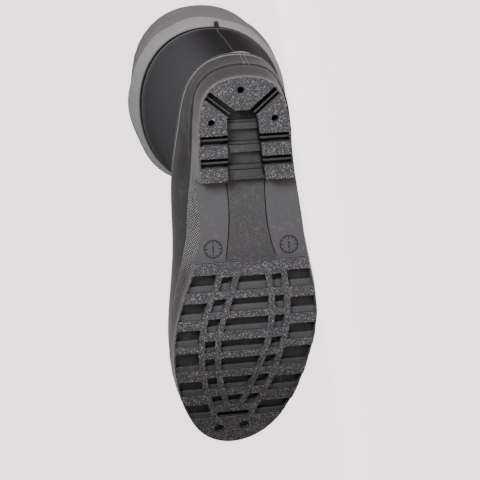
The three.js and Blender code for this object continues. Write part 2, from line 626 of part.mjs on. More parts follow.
const shaftAt = (column, z) => read(SHAFT, 'up', column, z / SHAFT_HEIGHT);
const shaftCentreAt = (z) => ((shaftAt('medial', z) - shaftAt('lateral', z)) * RIM_WIDTH) / 2;
const seamAt = (z) => shaftCentreAt(z) + SEAM_OFFSET;

// How far the upper swells past its seat, most at the medial side of the waist.
function swell(side, share, rise) {
  const at = rise / INSTEP_HEIGHT;
  const waist = Math.exp(-(((share - 0.33) / 0.17) ** 2)) * (side > 0 ? 1.4 : 0);
  const fade = Math.min(1, 12 * share) * Math.min(1, 12 * (1 - share));
  const forefoot = side > 0 ? 1 : 0.5;
  return fade * (waist * read(SWELL, 'rise', 'waist', at) + forefoot * read(SWELL, 'rise', 'forefoot', at));
}

const domeAt = (level) => (1 - THREE.MathUtils.clamp(level, 0, 1) ** DOME_POWER) ** (1 / DOME_ROOT);
const ovalAt = (place) => (1 - Math.min(1, Math.abs(place)) ** OVAL_POWER) ** (1 / OVAL_POWER);

// The larger of two sizes, rounded over where they are alike.
function softMax(a, b, round) {
  const near = Math.max(round - Math.abs(a - b), 0) / round;
  return Math.max(a, b) + (near * near * round) / 4;
}

// The height of a ring at x, for a height above the sole: it follows the sole's top low down and is level above.
function ringHeight(rise, x) {
  const level = THREE.MathUtils.smoothstep(rise, 0, INSTEP_HEIGHT * 0.6);
  return SEAT_GAP + rise + soleTop(x) * (1 - level) + HEEL_SOLE * level;
}

// Where the foot's top line comes down to a height, measured as a share of the length.
function ridgeShare(rise, inset) {
  let low = 0.42;
  let high = 1;
  for (let i = 0; i < 40; i += 1) {
    const middle = (low + high) / 2;
    const ridge = read(RIDGE, 'along', 'rise', middle) * INSTEP_HEIGHT - inset;
    if (ridge > rise) low = middle;
    else high = middle;
  }
  return low;
}

// One closed ring of the upper at a height above the sole, drawn in from its outside by inset.
function upperRing(rise, inset, stations, relief = () => 0) {
  const z = HEEL_SOLE + SEAT_GAP + rise;
  const back = shaftAt('back', z) * RIM_LENGTH + inset;
  const shaftFront = shaftAt('front', z) * RIM_LENGTH - inset;
  const toe = FEATHER_TOE - inset;
  const footFront = back + ridgeShare(rise, inset) * (toe - back);
  const front = Math.max(shaftFront, rise < 1.5 * INSTEP_HEIGHT ? footFront : 0);
  const shaftMiddle = (back + shaftFront) / 2;
  const shaftHalf = (shaftFront - back) / 2;
  const shaftCentre = shaftCentreAt(z);
  const sideAt = (side, x) => {
    const share = (x - back) / (toe - back);
    const ridge = read(RIDGE, 'along', 'rise', share) * INSTEP_HEIGHT - inset;
    const centre = read(RIDGE, 'along', 'centre', share) * BALL_WIDTH;
    const edge = side * (featherEdge(side, share) - centre) + swell(side, share, rise) - inset;
    const foot = Math.max(0, edge) * domeAt(rise / Math.max(ridge, 1)) + side * centre;
    const width = shaftAt(side > 0 ? 'medial' : 'lateral', z) * RIM_WIDTH - side * shaftCentre - inset;
    const shaft = width * ovalAt((x - shaftMiddle) / shaftHalf) + side * shaftCentre;
    const round = 8 * Math.min(1, Math.max(foot, shaft, 0) / 25);
    return side * (round > 0.01 ? softMax(foot, shaft, round) : Math.max(foot, shaft));
  };
  const tipCentre = (x) => {
    const share = (x - back) / (toe - back);
    return x > shaftFront + 1 ? read(RIDGE, 'along', 'centre', share) * BALL_WIDTH : shaftCentre;
  };
  const line = [];
  for (let i = 0; i < 2 * stations; i += 1) {
    const medialSide = i <= stations;
    const index = medialSide ? i : 2 * stations - i;
    const x = back + shareAt(stationTurn(index, stations)) * (front - back);
    const tip = index === 0 || index === stations;
    line.push(new THREE.Vector2(x, tip ? tipCentre(x) : sideAt(medialSide ? 1 : -1, x)));
  }
  return line.map((at, i) => {
    const before = line[(i + line.length - 1) % line.length];
    const after = line[(i + 1) % line.length];
    const along = new THREE.Vector2().subVectors(after, before).normalize();
    const out = relief(at, z);
    const x = at.x - along.y * out;
    const y = at.y + along.x * out;
    return new THREE.Vector3(x, y, ringHeight(rise, x) + spring(x));
  });
}

// What stands proud of the upper's wall: the heel counter, the spur above it and the lip of the rim.
function upperRelief(at, z) {
  const counterFade = 1 - THREE.MathUtils.smoothstep(at.x, COUNTER_LENGTH * 0.7, COUNTER_LENGTH);
  const bead = z > COUNTER_TOP - BEAD_HEIGHT + BEAD_SLOPE / 2 ? COUNTER_BEAD : 0;
  const counter = z <= COUNTER_TOP ? (COUNTER_STEP + bead) * counterFade : 0;
  const spurFoot = COUNTER_TOP + SPUR_RISE;
  const onSpur = z > spurFoot - 0.1 && z <= spurFoot + SPUR_HEIGHT && at.x < RIM_LENGTH / 4;
  const spur = onSpur ? SPUR_REACH * Math.exp(-(((at.y - seamAt(z)) / (SPUR_WIDTH / 2)) ** 4)) : 0;
  const lip = z > SHAFT_HEIGHT - LIP_HEIGHT ? LIP_STEP : 0;
  return counter + spur + lip;
}

function upperGeometry() {
  const seat = HEEL_SOLE + SEAT_GAP;
  const detail = [
    COUNTER_TOP - BEAD_HEIGHT - seat,
    COUNTER_TOP - BEAD_HEIGHT + BEAD_SLOPE - seat,
    COUNTER_TOP - seat,
    COUNTER_TOP + EDGE_SLOPE - seat,
    COUNTER_TOP + SPUR_RISE - EDGE_SLOPE - seat,
    COUNTER_TOP + SPUR_RISE - seat,
    COUNTER_TOP + SPUR_RISE + SPUR_HEIGHT - seat,
    COUNTER_TOP + SPUR_RISE + SPUR_HEIGHT + 1.5 - seat,
    SHAFT_HEIGHT - LIP_HEIGHT - EDGE_SLOPE - seat,
    SHAFT_HEIGHT - LIP_HEIGHT + EDGE_SLOPE / 2 - seat,
    SHAFT_HEIGHT - seat,
  ];
  const shaft = SHAFT_RINGS.map((up) => up * SHAFT_HEIGHT - seat);
  const clear = (rise) => detail.every((other) => Math.abs(other - rise) > 2);
  const foot = FOOT_RINGS.map((rise) => rise * INSTEP_HEIGHT);
  const outer = [...[...foot, ...shaft].filter(clear), ...detail].sort((a, b) => a - b);
  const lining = LINING_RINGS.map((rise) => rise * INSTEP_HEIGHT);
  const inner = [0, INSOLE_THICKNESS, ...lining, ...shaft, SHAFT_HEIGHT - seat];
  const rings = outer.map((rise) => upperRing(rise, 0, UPPER_STATIONS, upperRelief));
  inner.reverse();
  rings.push(...inner.map((rise) => upperRing(rise, WALL, UPPER_STATIONS)));
  return hollow(rings);
}

// The insole lies on the sole, inside the upper.
function insoleGeometry() {
  const inset = WALL + INSOLE_CLEARANCE;
  const low = upperRing(0, inset, UPPER_STATIONS);
  return slab([low, upperRing(INSOLE_THICKNESS, inset, UPPER_STATIONS)]);
}

// One ring of the leg: its height and how far out it stands from the shaft's outside on each side.
function legRing(row) {
  const { z } = row;
  const shaftZ = Math.min(z, SHAFT_HEIGHT);
  const back = shaftAt('back', shaftZ) * RIM_LENGTH - row.back;
  const front = shaftAt('front', shaftZ) * RIM_LENGTH + row.back;
  const medial = shaftAt('medial', shaftZ) * RIM_WIDTH + row.medial;
  const lateral = shaftAt('lateral', shaftZ) * RIM_WIDTH + row.lateral;
  const centre = (medial - lateral) / 2;
  const half = (medial + lateral) / 2;
  const ring = [];
  for (let i = 0; i < 2 * UPPER_STATIONS; i += 1) {
    const side = i <= UPPER_STATIONS ? 1 : -1;
    const index = side > 0 ? i : 2 * UPPER_STATIONS - i;
    const share = shareAt(stationTurn(index, UPPER_STATIONS));
    const y = centre + side * half * ovalAt(2 * share - 1);
    ring.push(new THREE.Vector3(back + share * (front - back), y, z));
  }
  return ring;
}

// The leg's outside as a list of heights and distances out, from its tucked end up to the hem.
function legProfile() {
  const tucked = -WALL - LEG_CLEARANCE;
  const tuck = (z) => ({ z, back: tucked, medial: tucked, lateral: tucked });
  const folds = LEG_FOLDS.map((fold) => ({
    z: SHAFT_HEIGHT + fold.up * LEG_RISE,
    back: fold.back * FOLD_REACH,
    medial: fold.medial * FOLD_REACH,
    lateral: fold.lateral * FOLD_REACH,
  }));
  return [tuck(SHAFT_HEIGHT - LEG_TUCK), tuck(SHAFT_HEIGHT - LEG_TUCK / 2), tuck(SHAFT_HEIGHT - 1), ...folds];
}

// The profile moved inwards by a thickness, square to itself.
function inward(profile, thickness) {
  return profile.map((point, i) => {
    const before = profile[Math.max(i - 1, 0)];
    const after = profile[Math.min(i + 1, profile.length - 1)];
    const rise = after.z - before.z;
    const run = (after.back + after.medial - before.back - before.medial) / 2;
    const length = Math.hypot(rise, run);
    const level = i === 0 || i === profile.length - 1 ? 0 : 1;
    const drawn = (thickness * rise) / length;
    return {
      z: point.z + (level * thickness * run) / length,
      back: point.back - drawn,
      medial: point.medial - drawn,
      lateral: point.lateral - drawn,
    };
  });
}

function legGeometry() {
  const profile = legProfile();
  const top = SHAFT_HEIGHT + LEG_RISE;
  const step = (z, out) => ({
    z,
    back: read(profile, 'z', 'back', z) + out,
    medial: read(profile, 'z', 'medial', z) + out,
    lateral: read(profile, 'z', 'lateral', z) + out,
  });
  const hem = [step(top - HEM_HEIGHT - 1, 0), step(top - HEM_HEIGHT, HEM_STEP), step(top, HEM_STEP)];
  const outer = [...profile.slice(0, -1), ...hem];
  const inner = inward(profile, NEOPRENE).reverse();
  return hollow([...outer, ...inner].map(legRing));
}

// The end of the back seam's tape, a short tab on the leg's fold just above the rim.
function patchGeometry() {
  const profile = legProfile().filter(({ z }) => z > SHAFT_HEIGHT && z < SHAFT_HEIGHT + 2 * PATCH_LENGTH);
  const centre = seamAt(SHAFT_HEIGHT);
  const steps = 4;
  const start = SHAFT_HEIGHT + PATCH_LENGTH / 2;
  const rings = [];
  for (let i = 0; i <= steps; i += 1) {
    const z = start + (PATCH_LENGTH * i) / steps;
    const slope = (read(profile, 'z', 'back', z + 1) - read(profile, 'z', 'back', z - 1)) / 2;
    const square = new THREE.Vector2(-1, -slope).normalize();
    const x = -read(profile, 'z', 'back', z);
    const corner = (side, out) => new THREE.Vector3(
      x + square.x * out,
      centre + (side * PATCH_WIDTH) / 2,
      z + square.y * out,
    );
    const near = 1.5 * SEAT_GAP;
    const far = near + PATCH_THICKNESS;
    rings.push([corner(-1, far), corner(-1, near), corner(1, near), corner(1, far)].reverse());
  }
  return slab(rings);
}

const rubber = (color, roughness) => new THREE.MeshStandardMaterial({ color, roughness, metalness: 0 });
const pieces = [
  { name: 'outsole', geometry: outsoleGeometry(), material: rubber(0x3c3c3d, 0.6), density: PVC_DENSITY },
  { name: 'upper', geometry: upperGeometry(), material: rubber(0x454546, 0.45), density: PVC_DENSITY },
  { name: 'insole', geometry: insoleGeometry(), material: rubber(0x2b2b2c, 0.95), density: NEOPRENE_DENSITY },
  { name: 'neoprene_leg', geometry: legGeometry(), material: rubber(0x868686, 0.9), density: NEOPRENE_DENSITY },
  { name: 'seam_tab', geometry: patchGeometry(), material: rubber(0x5a5a5a, 0.7), density: PVC_DENSITY },
];

// The centre of gravity of all the pieces, from the tetrahedra between the origin and each triangle.
function balancePoint() {
  const total = new THREE.Vector3();
  let mass = 0;
  const corners = [new THREE.Vector3(), new THREE.Vector3(), new THREE.Vector3()];
  for (const { geometry, density } of pieces) {
    const { position } = geometry.attributes;
    for (let i = 0; i < geometry.index.count; i += 3) {
      corners.forEach((corner, c) => corner.fromBufferAttribute(position, geometry.index.getX(i + c)));
      const volume = corners[0].dot(new THREE.Vector3().crossVectors(corners[1], corners[2])) / 6;
      mass += volume * density;
      corners.forEach((corner) => total.addScaledVector(corner, (volume * density) / 4));
    }
  }
  return total.divideScalar(mass);
}

// The plane that the boot comes to rest on when it is laid on its lateral side: y = a x + b z + c, under every
// point, and carrying the centre of gravity between the three points that it touches.
function restingPlane() {
  const balance = balancePoint();
  const points = [];
  for (const { geometry } of pieces) {
    const { position } = geometry.attributes;
    for (let i = 0; i < position.count; i += 1) {
      points.push(new THREE.Vector3().fromBufferAttribute(position, i));
    }
  }
  // Three feet far out and far above stand for no contact yet. Each point found under the plane takes the place
  // of one foot.
  const far = 1e4;
  let feet = [[-far, -far], [far, -far], [0, far]].map(([x, z]) => new THREE.Vector3(x, far, z));
  const planeOf = ([p, q, r]) => {
    const normal = new THREE.Vector3().subVectors(q, p).cross(new THREE.Vector3().subVectors(r, p));
    if (normal.y < 0) normal.negate();
    return new THREE.Plane().setFromNormalAndCoplanarPoint(normal.normalize(), p);
  };
  const holds = ([p, q, r]) => {
    const turn = (u, v) => (v.x - u.x) * (balance.z - u.z) - (v.z - u.z) * (balance.x - u.x);
    const turns = [turn(p, q), turn(q, r), turn(r, p)];
    return turns.every((t) => t >= 0) || turns.every((t) => t <= 0);
  };
  const rounds = 200;
  for (let round = 0; round < rounds; round += 1) {
    const plane = planeOf(feet);
    let lowest = null;
    let depth = -1e-4;
    for (const point of points) {
      const distance = plane.distanceToPoint(point);
      if (distance < depth) {
        depth = distance;
        lowest = point;
      }
    }
    if (!lowest) break;
    const options = feet.map((_, i) => feet.map((foot, j) => (i === j ? lowest : foot)));
    feet = options.find(holds);
  }
  return planeOf(feet);
}

// Laid down: the lateral side is below, the shaft points along +Y and the heel along +X, and the middle of the
// space that it fills stands over the origin.
const boot = new THREE.Group();
for (const { name, geometry, material } of pieces) {
  const flat = geometry.toNonIndexed();
  flat.computeVertexNormals();
  const mesh = new THREE.Mesh(flat, material);
  mesh.name = name;
  boot.add(mesh);
}
const floorNormal = restingPlane().normal;
const shaftAxis = new THREE.Vector3(0, 0, 1).projectOnPlane(floorNormal).normalize();
const heelAxis = new THREE.Vector3().crossVectors(shaftAxis, floorNormal);
const turn = new THREE.Matrix4().makeBasis(heelAxis, shaftAxis, floorNormal).transpose();
boot.quaternion.setFromRotationMatrix(turn);
boot.updateMatrixWorld(true);
const filled = new THREE.Box3().setFromObject(boot, true);
const middle = filled.getCenter(new THREE.Vector3());
boot.position.set(-middle.x, -middle.y, -filled.min.z);
boot.updateMatrixWorld(true);

export default boot;
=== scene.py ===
"""The looks of a right wader boot that lies on its lateral side: PVC boot, lugged sole and neoprene leg."""

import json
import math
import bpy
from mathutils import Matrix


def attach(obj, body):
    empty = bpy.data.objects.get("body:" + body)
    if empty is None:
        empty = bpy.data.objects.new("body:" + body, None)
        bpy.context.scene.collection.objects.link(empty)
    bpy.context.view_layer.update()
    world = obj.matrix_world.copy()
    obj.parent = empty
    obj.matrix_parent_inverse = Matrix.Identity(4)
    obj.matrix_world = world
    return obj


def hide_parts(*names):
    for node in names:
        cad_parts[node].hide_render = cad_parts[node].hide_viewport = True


bl_info = {
    "name": "Wader boot",
    "version": (1, 0, 0),
    "blender": (4, 5, 0),
    "location": "View3D > Sidebar > Wader boot",
    "description": "Dresses the wader boot, its lugged sole and its neoprene leg",
    "category": "Object",
}

from types import SimpleNamespace

import bpy
import numpy as np
from mathutils import Matrix, Quaternion, Vector

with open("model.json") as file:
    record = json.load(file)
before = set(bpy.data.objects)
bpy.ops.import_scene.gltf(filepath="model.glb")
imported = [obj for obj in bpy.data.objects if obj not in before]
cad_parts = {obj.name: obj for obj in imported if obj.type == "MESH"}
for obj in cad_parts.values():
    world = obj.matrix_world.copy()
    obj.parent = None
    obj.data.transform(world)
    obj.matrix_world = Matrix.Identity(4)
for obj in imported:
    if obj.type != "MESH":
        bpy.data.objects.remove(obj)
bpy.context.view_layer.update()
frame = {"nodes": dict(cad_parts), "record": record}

# How the boot lies: its own X runs to the toe, Y to the medial side, Z up the shaft. Lengths are in metres.
MM = 0.001
ROLL = math.asin(0.1131885)
TREAD = next(mount for mount in frame["record"]["mounts"] if mount["name"] == "tread")
TREAD_POINT = Vector((76 * MM, -26 * MM, 0))
SOLE_LENGTH = 309.5 * MM
SPRING_START = 0.65
TOE_SPRING = 8 * MM
HEEL_BREAST = 81.8 * MM
WAIST_END = 148.3 * MM
WAIST_START_HEIGHT = 14.5 * MM
WAIST_END_HEIGHT = 4.2 * MM
WAIST_HOLLOW = 0.35
SHELF_HEIGHT = 3.4 * MM
CHANNEL_START = 32.3 * MM
CHANNEL_START_HALF = 12.2 * MM
CHANNEL_END_HALF = 15 * MM
CHANNEL_START_Y = 1.8 * MM
COUNTER_TOP = 58 * MM
RIM_HEIGHT = 270 * MM
LEG_TOP = 435 * MM
SEAM_Y = -5.8 * MM
SHAFT_MIDDLE = 76 * MM
LEG_MIDDLE = 77 * MM

# The waist's middle panel: where it is narrowest, half its width there, and how much it widens per reach.
PANEL_NARROWEST = 102 * MM
PANEL_HALF = 14.7 * MM
PANEL_FLARE = 5.4 * MM
PANEL_REACH = 44 * MM
PANEL_Y = -0.5 * MM

# The strip of diamonds on the side of the arch, and the ratio of a diamond's diagonal to its side.
KNURL_LENGTH = (52 * MM, 200 * MM)
KNURL_RISE = (4 * MM, 24.5 * MM)
KNURL_SIDE = 28 * MM
DIAGONAL = 1.4142

# The knit: how many wales go round the leg, and the pitch of its courses.
WALES = 420.0
KNIT_PITCH = 1.1 * MM

# The two rings on the waist. Their middles are in millimetres.
RING_PLACES = ((137.8, 29.0), (138.2, -32.3))
RING_RADIUS = 7.1 * MM
RING_TICKS = 12

# The creases at the ankle: height in millimetres, how much each leans, and half its width in millimetres.
ANKLE_CREASES = ((112.0, 0.32, 9.0), (138.0, 0.22, 10.0))


def lying_matrix():
    """Boot's own frame to the world."""
    up = -Vector(TREAD["axis"]).normalized()
    level = Vector((-1, 0, 0))
    toe = level * math.cos(ROLL) + up.cross(level) * math.sin(ROLL)
    medial = up.cross(toe)
    turn = Matrix((toe, medial, up)).transposed()
    place = Vector(TREAD["pos_m"]) - turn @ TREAD_POINT
    return Matrix.Translation(place) @ turn.to_4x4()


LYING = lying_matrix()
STANDING = LYING.inverted()
HEEL_TO_TOE = LYING.to_3x3() @ Vector((1, 0, 0))


def linear(hex_colour):
    """An sRGB hex value as a linear colour."""
    channels = [int(hex_colour[i : i + 2], 16) / 255 for i in (1, 3, 5)]
    return tuple(c / 12.92 if c <= 0.04045 else ((c + 0.055) / 1.055) ** 2.4 for c in channels)


class WaderBootLook(bpy.types.PropertyGroup):
    """Colours and sizes of the finishes."""

    sole_colour: bpy.props.FloatVectorProperty(
        name="Sole", description="Colour of the sole's PVC", subtype="COLOR", default=linear("#232324")
    )
    boot_colour: bpy.props.FloatVectorProperty(
        name="Boot", description="Colour of the boot's PVC", subtype="COLOR", default=linear("#242425")
    )
    neoprene_colour: bpy.props.FloatVectorProperty(
        name="Neoprene", description="Colour of the leg's jersey", subtype="COLOR", default=linear("#6c6c6c")
    )
    floor_colour: bpy.props.FloatVectorProperty(
        name="Floor", description="Colour of the studio floor", subtype="COLOR", default=linear("#ece2e4")
    )
    edge_radius: bpy.props.FloatProperty(
        name="Lug edge", description="Radius of the lugs' edges", unit="LENGTH", default=0.35 * MM
    )
    grain: bpy.props.FloatProperty(
        name="Tread grain", description="Size of the lugs' crinkles", unit="LENGTH", default=1.05 * MM
    )
    knurl: bpy.props.FloatProperty(
        name="Knurl pitch", description="Spacing of the grip at the arch", unit="LENGTH", default=1.6 * MM
    )
    crease_depth: bpy.props.FloatProperty(
        name="Ankle crease", description="Depth of the creases at the ankle", unit="LENGTH", default=1.6 * MM
    )
    camera_height: bpy.props.FloatProperty(
        name="Camera height", description="Least height above the floor", unit="LENGTH", default=4 * MM
    )


# Materials


def add(tree, kind, links=None, inputs=None, **settings):
    """Adds a node, sets its properties and inputs, and links sockets into its inputs."""
    node = tree.nodes.new(kind)
    for name, value in settings.items():
        setattr(node, name, value)
    for key, value in (inputs or {}).items():
        node.inputs[key].default_value = value
    for key, socket in (links or {}).items():
        tree.links.new(socket, node.inputs[key])
    return node


def new_material(name):
    """An empty material with its shader, and the place on the boot in the boot's own frame."""
    material = bpy.data.materials.new(name)
    material.use_nodes = True
    tree = material.node_tree
    tree.nodes.clear()
    shader = add(tree, "ShaderNodeBsdfPrincipled")
    add(tree, "ShaderNodeOutputMaterial", links={"Surface": shader.outputs["BSDF"]})
    place = add(tree, "ShaderNodeTexCoord")
    own = add(
        tree,
        "ShaderNodeMapping",
        links={"Vector": place.outputs["Object"]},
        inputs={"Location": STANDING.to_translation(), "Rotation": STANDING.to_euler()},
    )
    return material, tree, shader, own.outputs["Vector"]


def maths(tree, operation, first, second=None, clamp=False):
    """One sum of two sockets or numbers."""
    links = {}
    inputs = {}
    for index, value in enumerate((first, second)):
        if value is None:
            continue
        if isinstance(value, (int, float)):
            inputs[index] = value
        else:
            links[index] = value
    node = add(tree, "ShaderNodeMath", links=links, inputs=inputs, operation=operation, use_clamp=clamp)
    return node.outputs[0]


def product(tree, first, *others):
    """A socket times sockets or numbers."""
    for other in others:
        first = maths(tree, "MULTIPLY", first, other)
    return first


def inverse(tree, mask):
    """Where a mask is not."""
    return maths(tree, "SUBTRACT", 1.0, mask)


def apart(tree, value, middle):
    """How far a socket is from another socket or a number."""
    return maths(tree, "ABSOLUTE", maths(tree, "SUBTRACT", value, middle))


def along(tree, normal, axis):
    """How much a surface faces along an axis: 1 straight at it, 0 at right angles."""
    node = add(tree, "ShaderNodeVectorMath", links={0: normal}, inputs={1: axis}, operation="DOT_PRODUCT")
    return node.outputs["Value"]


def ramp(tree, value, low, high, to_low=0.0, to_high=1.0):
    """A smooth step of a socket between two values."""
    node = add(
        tree,
        "ShaderNodeMapRange",
        links={"Value": value},
        inputs={"From Min": low, "From Max": high, "To Min": to_low, "To Max": to_high},
        interpolation_type="SMOOTHSTEP",
    )
    return node.outputs["Result"]


def ramp_linear(tree, value, low, high):
    """A straight step of a socket between two values, held at the ends."""
    node = add(tree, "ShaderNodeMapRange", links={"Value": value}, inputs={"From Min": low, "From Max": high})
    return node.outputs["Result"]


def band(tree, value, low, high, soft):
    """One inside a range and zero outside, with soft ends."""
    rise = ramp(tree, value, low - soft, low + soft)
    return product(tree, rise, ramp(tree, value, high + soft, high - soft))


def noise(tree, vector, size, detail=3.0, roughness=0.5, distortion=0.0):
    """Noise whose lumps are about as wide as size."""
    node = add(
        tree,
        "ShaderNodeTexNoise",
        links={"Vector": vector},
        inputs={"Scale": 1 / (2 * size), "Detail": detail, "Roughness": roughness, "Distortion": distortion},
    )
    return node.outputs["Fac"]


def bump(tree, height, distance, strength=1.0, before=None):
    """Raises the surface by height times distance, on top of an earlier bump."""
    links = {"Height": height}
    if before is not None:
        links["Normal"] = before
    inputs = {"Distance": distance, "Strength": strength}
    return add(tree, "ShaderNodeBump", links=links, inputs=inputs).outputs["Normal"]


def relief(tree, shader, *bumps):
    """Gives a shader bumps on top of each other. Each has its height, its distance and its strength."""
    surface = None
    for height, distance, strength in bumps:
        surface = bump(tree, height, distance, strength, before=surface)
    tree.links.new(surface, shader.inputs["Normal"])


def mix(tree, factor, first, second):
    """Two colours mixed by a socket. A colour may be a socket or a linear triple."""
    links = {"Factor": factor}
    inputs = {}
    for key, value in (("A", first), ("B", second)):
        if isinstance(value, bpy.types.NodeSocket):
            links[key] = value
        else:
            inputs[key] = (*value, 1)
    node = tree.nodes.new("ShaderNodeMix")
    node.data_type = "RGBA"
    sockets = {s.identifier: s for s in node.inputs}
    names = {"Factor": "Factor_Float", "A": "A_Color", "B": "B_Color"}
    for key, value in inputs.items():
        sockets[names[key]].default_value = value
    for key, socket in links.items():
        tree.links.new(socket, sockets[names[key]])
    return next(s for s in node.outputs if s.identifier == "Result_Color")


def shade(colour, factor):
    """A colour made darker or lighter."""
    return tuple(min(1.0, c * factor) for c in colour)


def coat(tree, shader, colour, base, *layers):
    """Gives a shader its colour: layers over a base. Each has its mask, how much it covers, and its colour.
    A number there stands for the given colour times that number."""
    for mask, cover, paint in layers:
        if isinstance(paint, (int, float)):
            paint = shade(colour, paint)
        base = mix(tree, product(tree, mask, cover), base, paint)
    tree.links.new(base, shader.inputs["Base Color"])


def sole_places(tree, place):
    """The sockets that the sole's masks are made from."""
    x, y, z = add(tree, "ShaderNodeSeparateXYZ", links={"Vector": place}).outputs
    spring = ramp_linear(tree, x, SPRING_START * SOLE_LENGTH, SOLE_LENGTH)
    normal = add(tree, "ShaderNodeNewGeometry").outputs["Normal"]
    # Height over the tread, with the rise of the toe taken off.
    over = maths(tree, "SUBTRACT", z, product(tree, spring, spring, TOE_SPRING))
    down = along(tree, normal, TREAD["axis"])
    start = ramp(tree, x, HEEL_BREAST - 0.3 * MM, HEEL_BREAST + 0.3 * MM)
    end = ramp(tree, x, WAIST_END + 0.3 * MM, WAIST_END - 0.3 * MM)
    return SimpleNamespace(
        place=place,
        x=x,
        y=y,
        z=z,
        over=over,
        aside=maths(tree, "ABSOLUTE", y),
        down=down,
        flat=ramp(tree, down, 0.8, 0.95),
        heelward=along(tree, normal, -HEEL_TO_TOE),
        tread=ramp(tree, over, 1.6 * MM, 0.5 * MM),
        waist=product(tree, start, end),
        # toe: painted shade, which grows towards the toe, where less light falls; it also dims the painted
        # glints and highlights there.
        toe=ramp(tree, x, 175 * MM, 290 * MM),
    )


def crinkles(tree, sole, look):
    """The spark-eroded grain: its ridges, the lumps beside them and the height of both."""
    ridges = noise(tree, sole.place, look.grain, detail=1.0, distortion=0.6)
    ridges = ramp(tree, apart(tree, ridges, 0.5), 0.09, 0.0)
    lumps = noise(tree, sole.place, look.grain * 0.6, detail=1.0, distortion=0.4)
    pits = ramp(tree, lumps, 0.38, 0.62)
    return ridges, lumps, maths(tree, "ADD", product(tree, ridges, 0.65), product(tree, pits, 0.35))


def knurls(tree, sole, look):
    """The knurled grip on the side of the arch: its diamonds, and the strip that they cover."""
    turns = 2 * math.pi / (look.knurl * DIAGONAL)
    rising = maths(tree, "COSINE", product(tree, maths(tree, "ADD", sole.x, sole.z), turns))
    falling = maths(tree, "COSINE", product(tree, maths(tree, "SUBTRACT", sole.x, sole.z), turns))
    diamonds = product(tree, maths(tree, "ADD", rising, 1.0), maths(tree, "ADD", falling, 1.0), 0.25)
    strip = product(
        tree,
        band(tree, sole.x, *KNURL_LENGTH, 4 * MM),
        ramp(tree, sole.y, KNURL_SIDE, KNURL_SIDE + 2 * MM),
        band(tree, sole.over, *KNURL_RISE, 1.2 * MM),
        ramp(tree, sole.down, 0.93, 0.85),
    )
    return diamonds, strip


def groove_layers(tree, sole):
    """Shadow in the grooves, on the walls of the heel's lugs, and round the heel's channel."""
    floors = product(tree, ramp(tree, sole.over, 4.2 * MM, 5.4 * MM), ramp(tree, sole.x, 80 * MM, 84 * MM))
    floors = product(tree, floors, inverse(tree, sole.waist), sole.flat)
    walls = product(
        tree,
        ramp(tree, sole.down, 0.75, 0.5),
        ramp(tree, sole.x, HEEL_BREAST - 2 * MM, HEEL_BREAST - 4 * MM),
        ramp(tree, sole.aside, 20 * MM, 18 * MM),
        ramp(tree, sole.over, 1.2 * MM, 3 * MM),
    )
    run = ramp_linear(tree, sole.x, CHANNEL_START, HEEL_BREAST)
    half = product(tree, run, CHANNEL_END_HALF - CHANNEL_START_HALF)
    half = maths(tree, "ADD", CHANNEL_START_HALF, half)
    centre = maths(tree, "SUBTRACT", CHANNEL_START_Y, product(tree, run, CHANNEL_START_Y))
    inside = maths(tree, "SUBTRACT", half, apart(tree, sole.y, centre))
    rim = product(tree, ramp(tree, inside, 2.2 * MM, 0.8 * MM), ramp(tree, inside, -2.5 * MM, -1.5 * MM))
    rim = maths(tree, "MAXIMUM", rim, ramp(tree, sole.x, CHANNEL_START + 3.7 * MM, CHANNEL_START + 0.7 * MM))
    rim = product(
        tree,
        rim,
        ramp(tree, sole.over, 4 * MM, 5.5 * MM),
        ramp(tree, sole.x, HEEL_BREAST - 1 * MM, HEEL_BREAST - 3 * MM),
    )
    return (floors, 0.7, 0.35), (walls, 0.9, 0.2), (rim, 0.9, 0.1)


def waist_layers(tree, sole):
    """The waist: painted paler beside its middle panel, where light falls on its slope, speckled on the
    panel, and painted shade where it is sunk.
    """
    bend = product(tree, maths(tree, "SUBTRACT", sole.x, PANEL_NARROWEST), 1 / PANEL_REACH)
    half = maths(tree, "ADD", PANEL_HALF, product(tree, bend, bend, PANEL_FLARE))
    beside = maths(tree, "SUBTRACT", apart(tree, sole.y, PANEL_Y), half)
    # Painted light: the smooth sides of the waist are painted paler, where the light falls on the sloping
    # waist.
    lit_sides = product(tree, sole.waist, sole.flat, ramp(tree, beside, -0.4 * MM, 0.6 * MM))
    middle = product(tree, sole.waist, sole.flat, ramp(tree, beside, 0.4 * MM, -0.6 * MM))
    speckle = ramp(tree, noise(tree, sole.place, 0.6 * MM, detail=3.0), 0.45, 0.62)
    share = ramp_linear(tree, sole.x, HEEL_BREAST, WAIST_END)
    slope = maths(tree, "SUBTRACT", 1 + WAIST_HOLLOW, product(tree, share, WAIST_HOLLOW))
    fall = product(tree, share, slope, WAIST_START_HEIGHT - WAIST_END_HEIGHT)
    # Painted shade: the waist's sunk panels and panel lines are painted dark, as recesses where shade falls.
    sunk = maths(tree, "SUBTRACT", maths(tree, "ADD", sole.z, fall), WAIST_START_HEIGHT)
    sunk = ramp(tree, sunk, 0.15 * MM, 0.5 * MM)
    sunk = product(tree, sunk, sole.waist, ramp(tree, sole.aside, 27 * MM, 25 * MM))
    return (lit_sides, 0.75, 1.9), (product(tree, middle, speckle), 0.5, 1.9), (sunk, 1.0, 0.15)


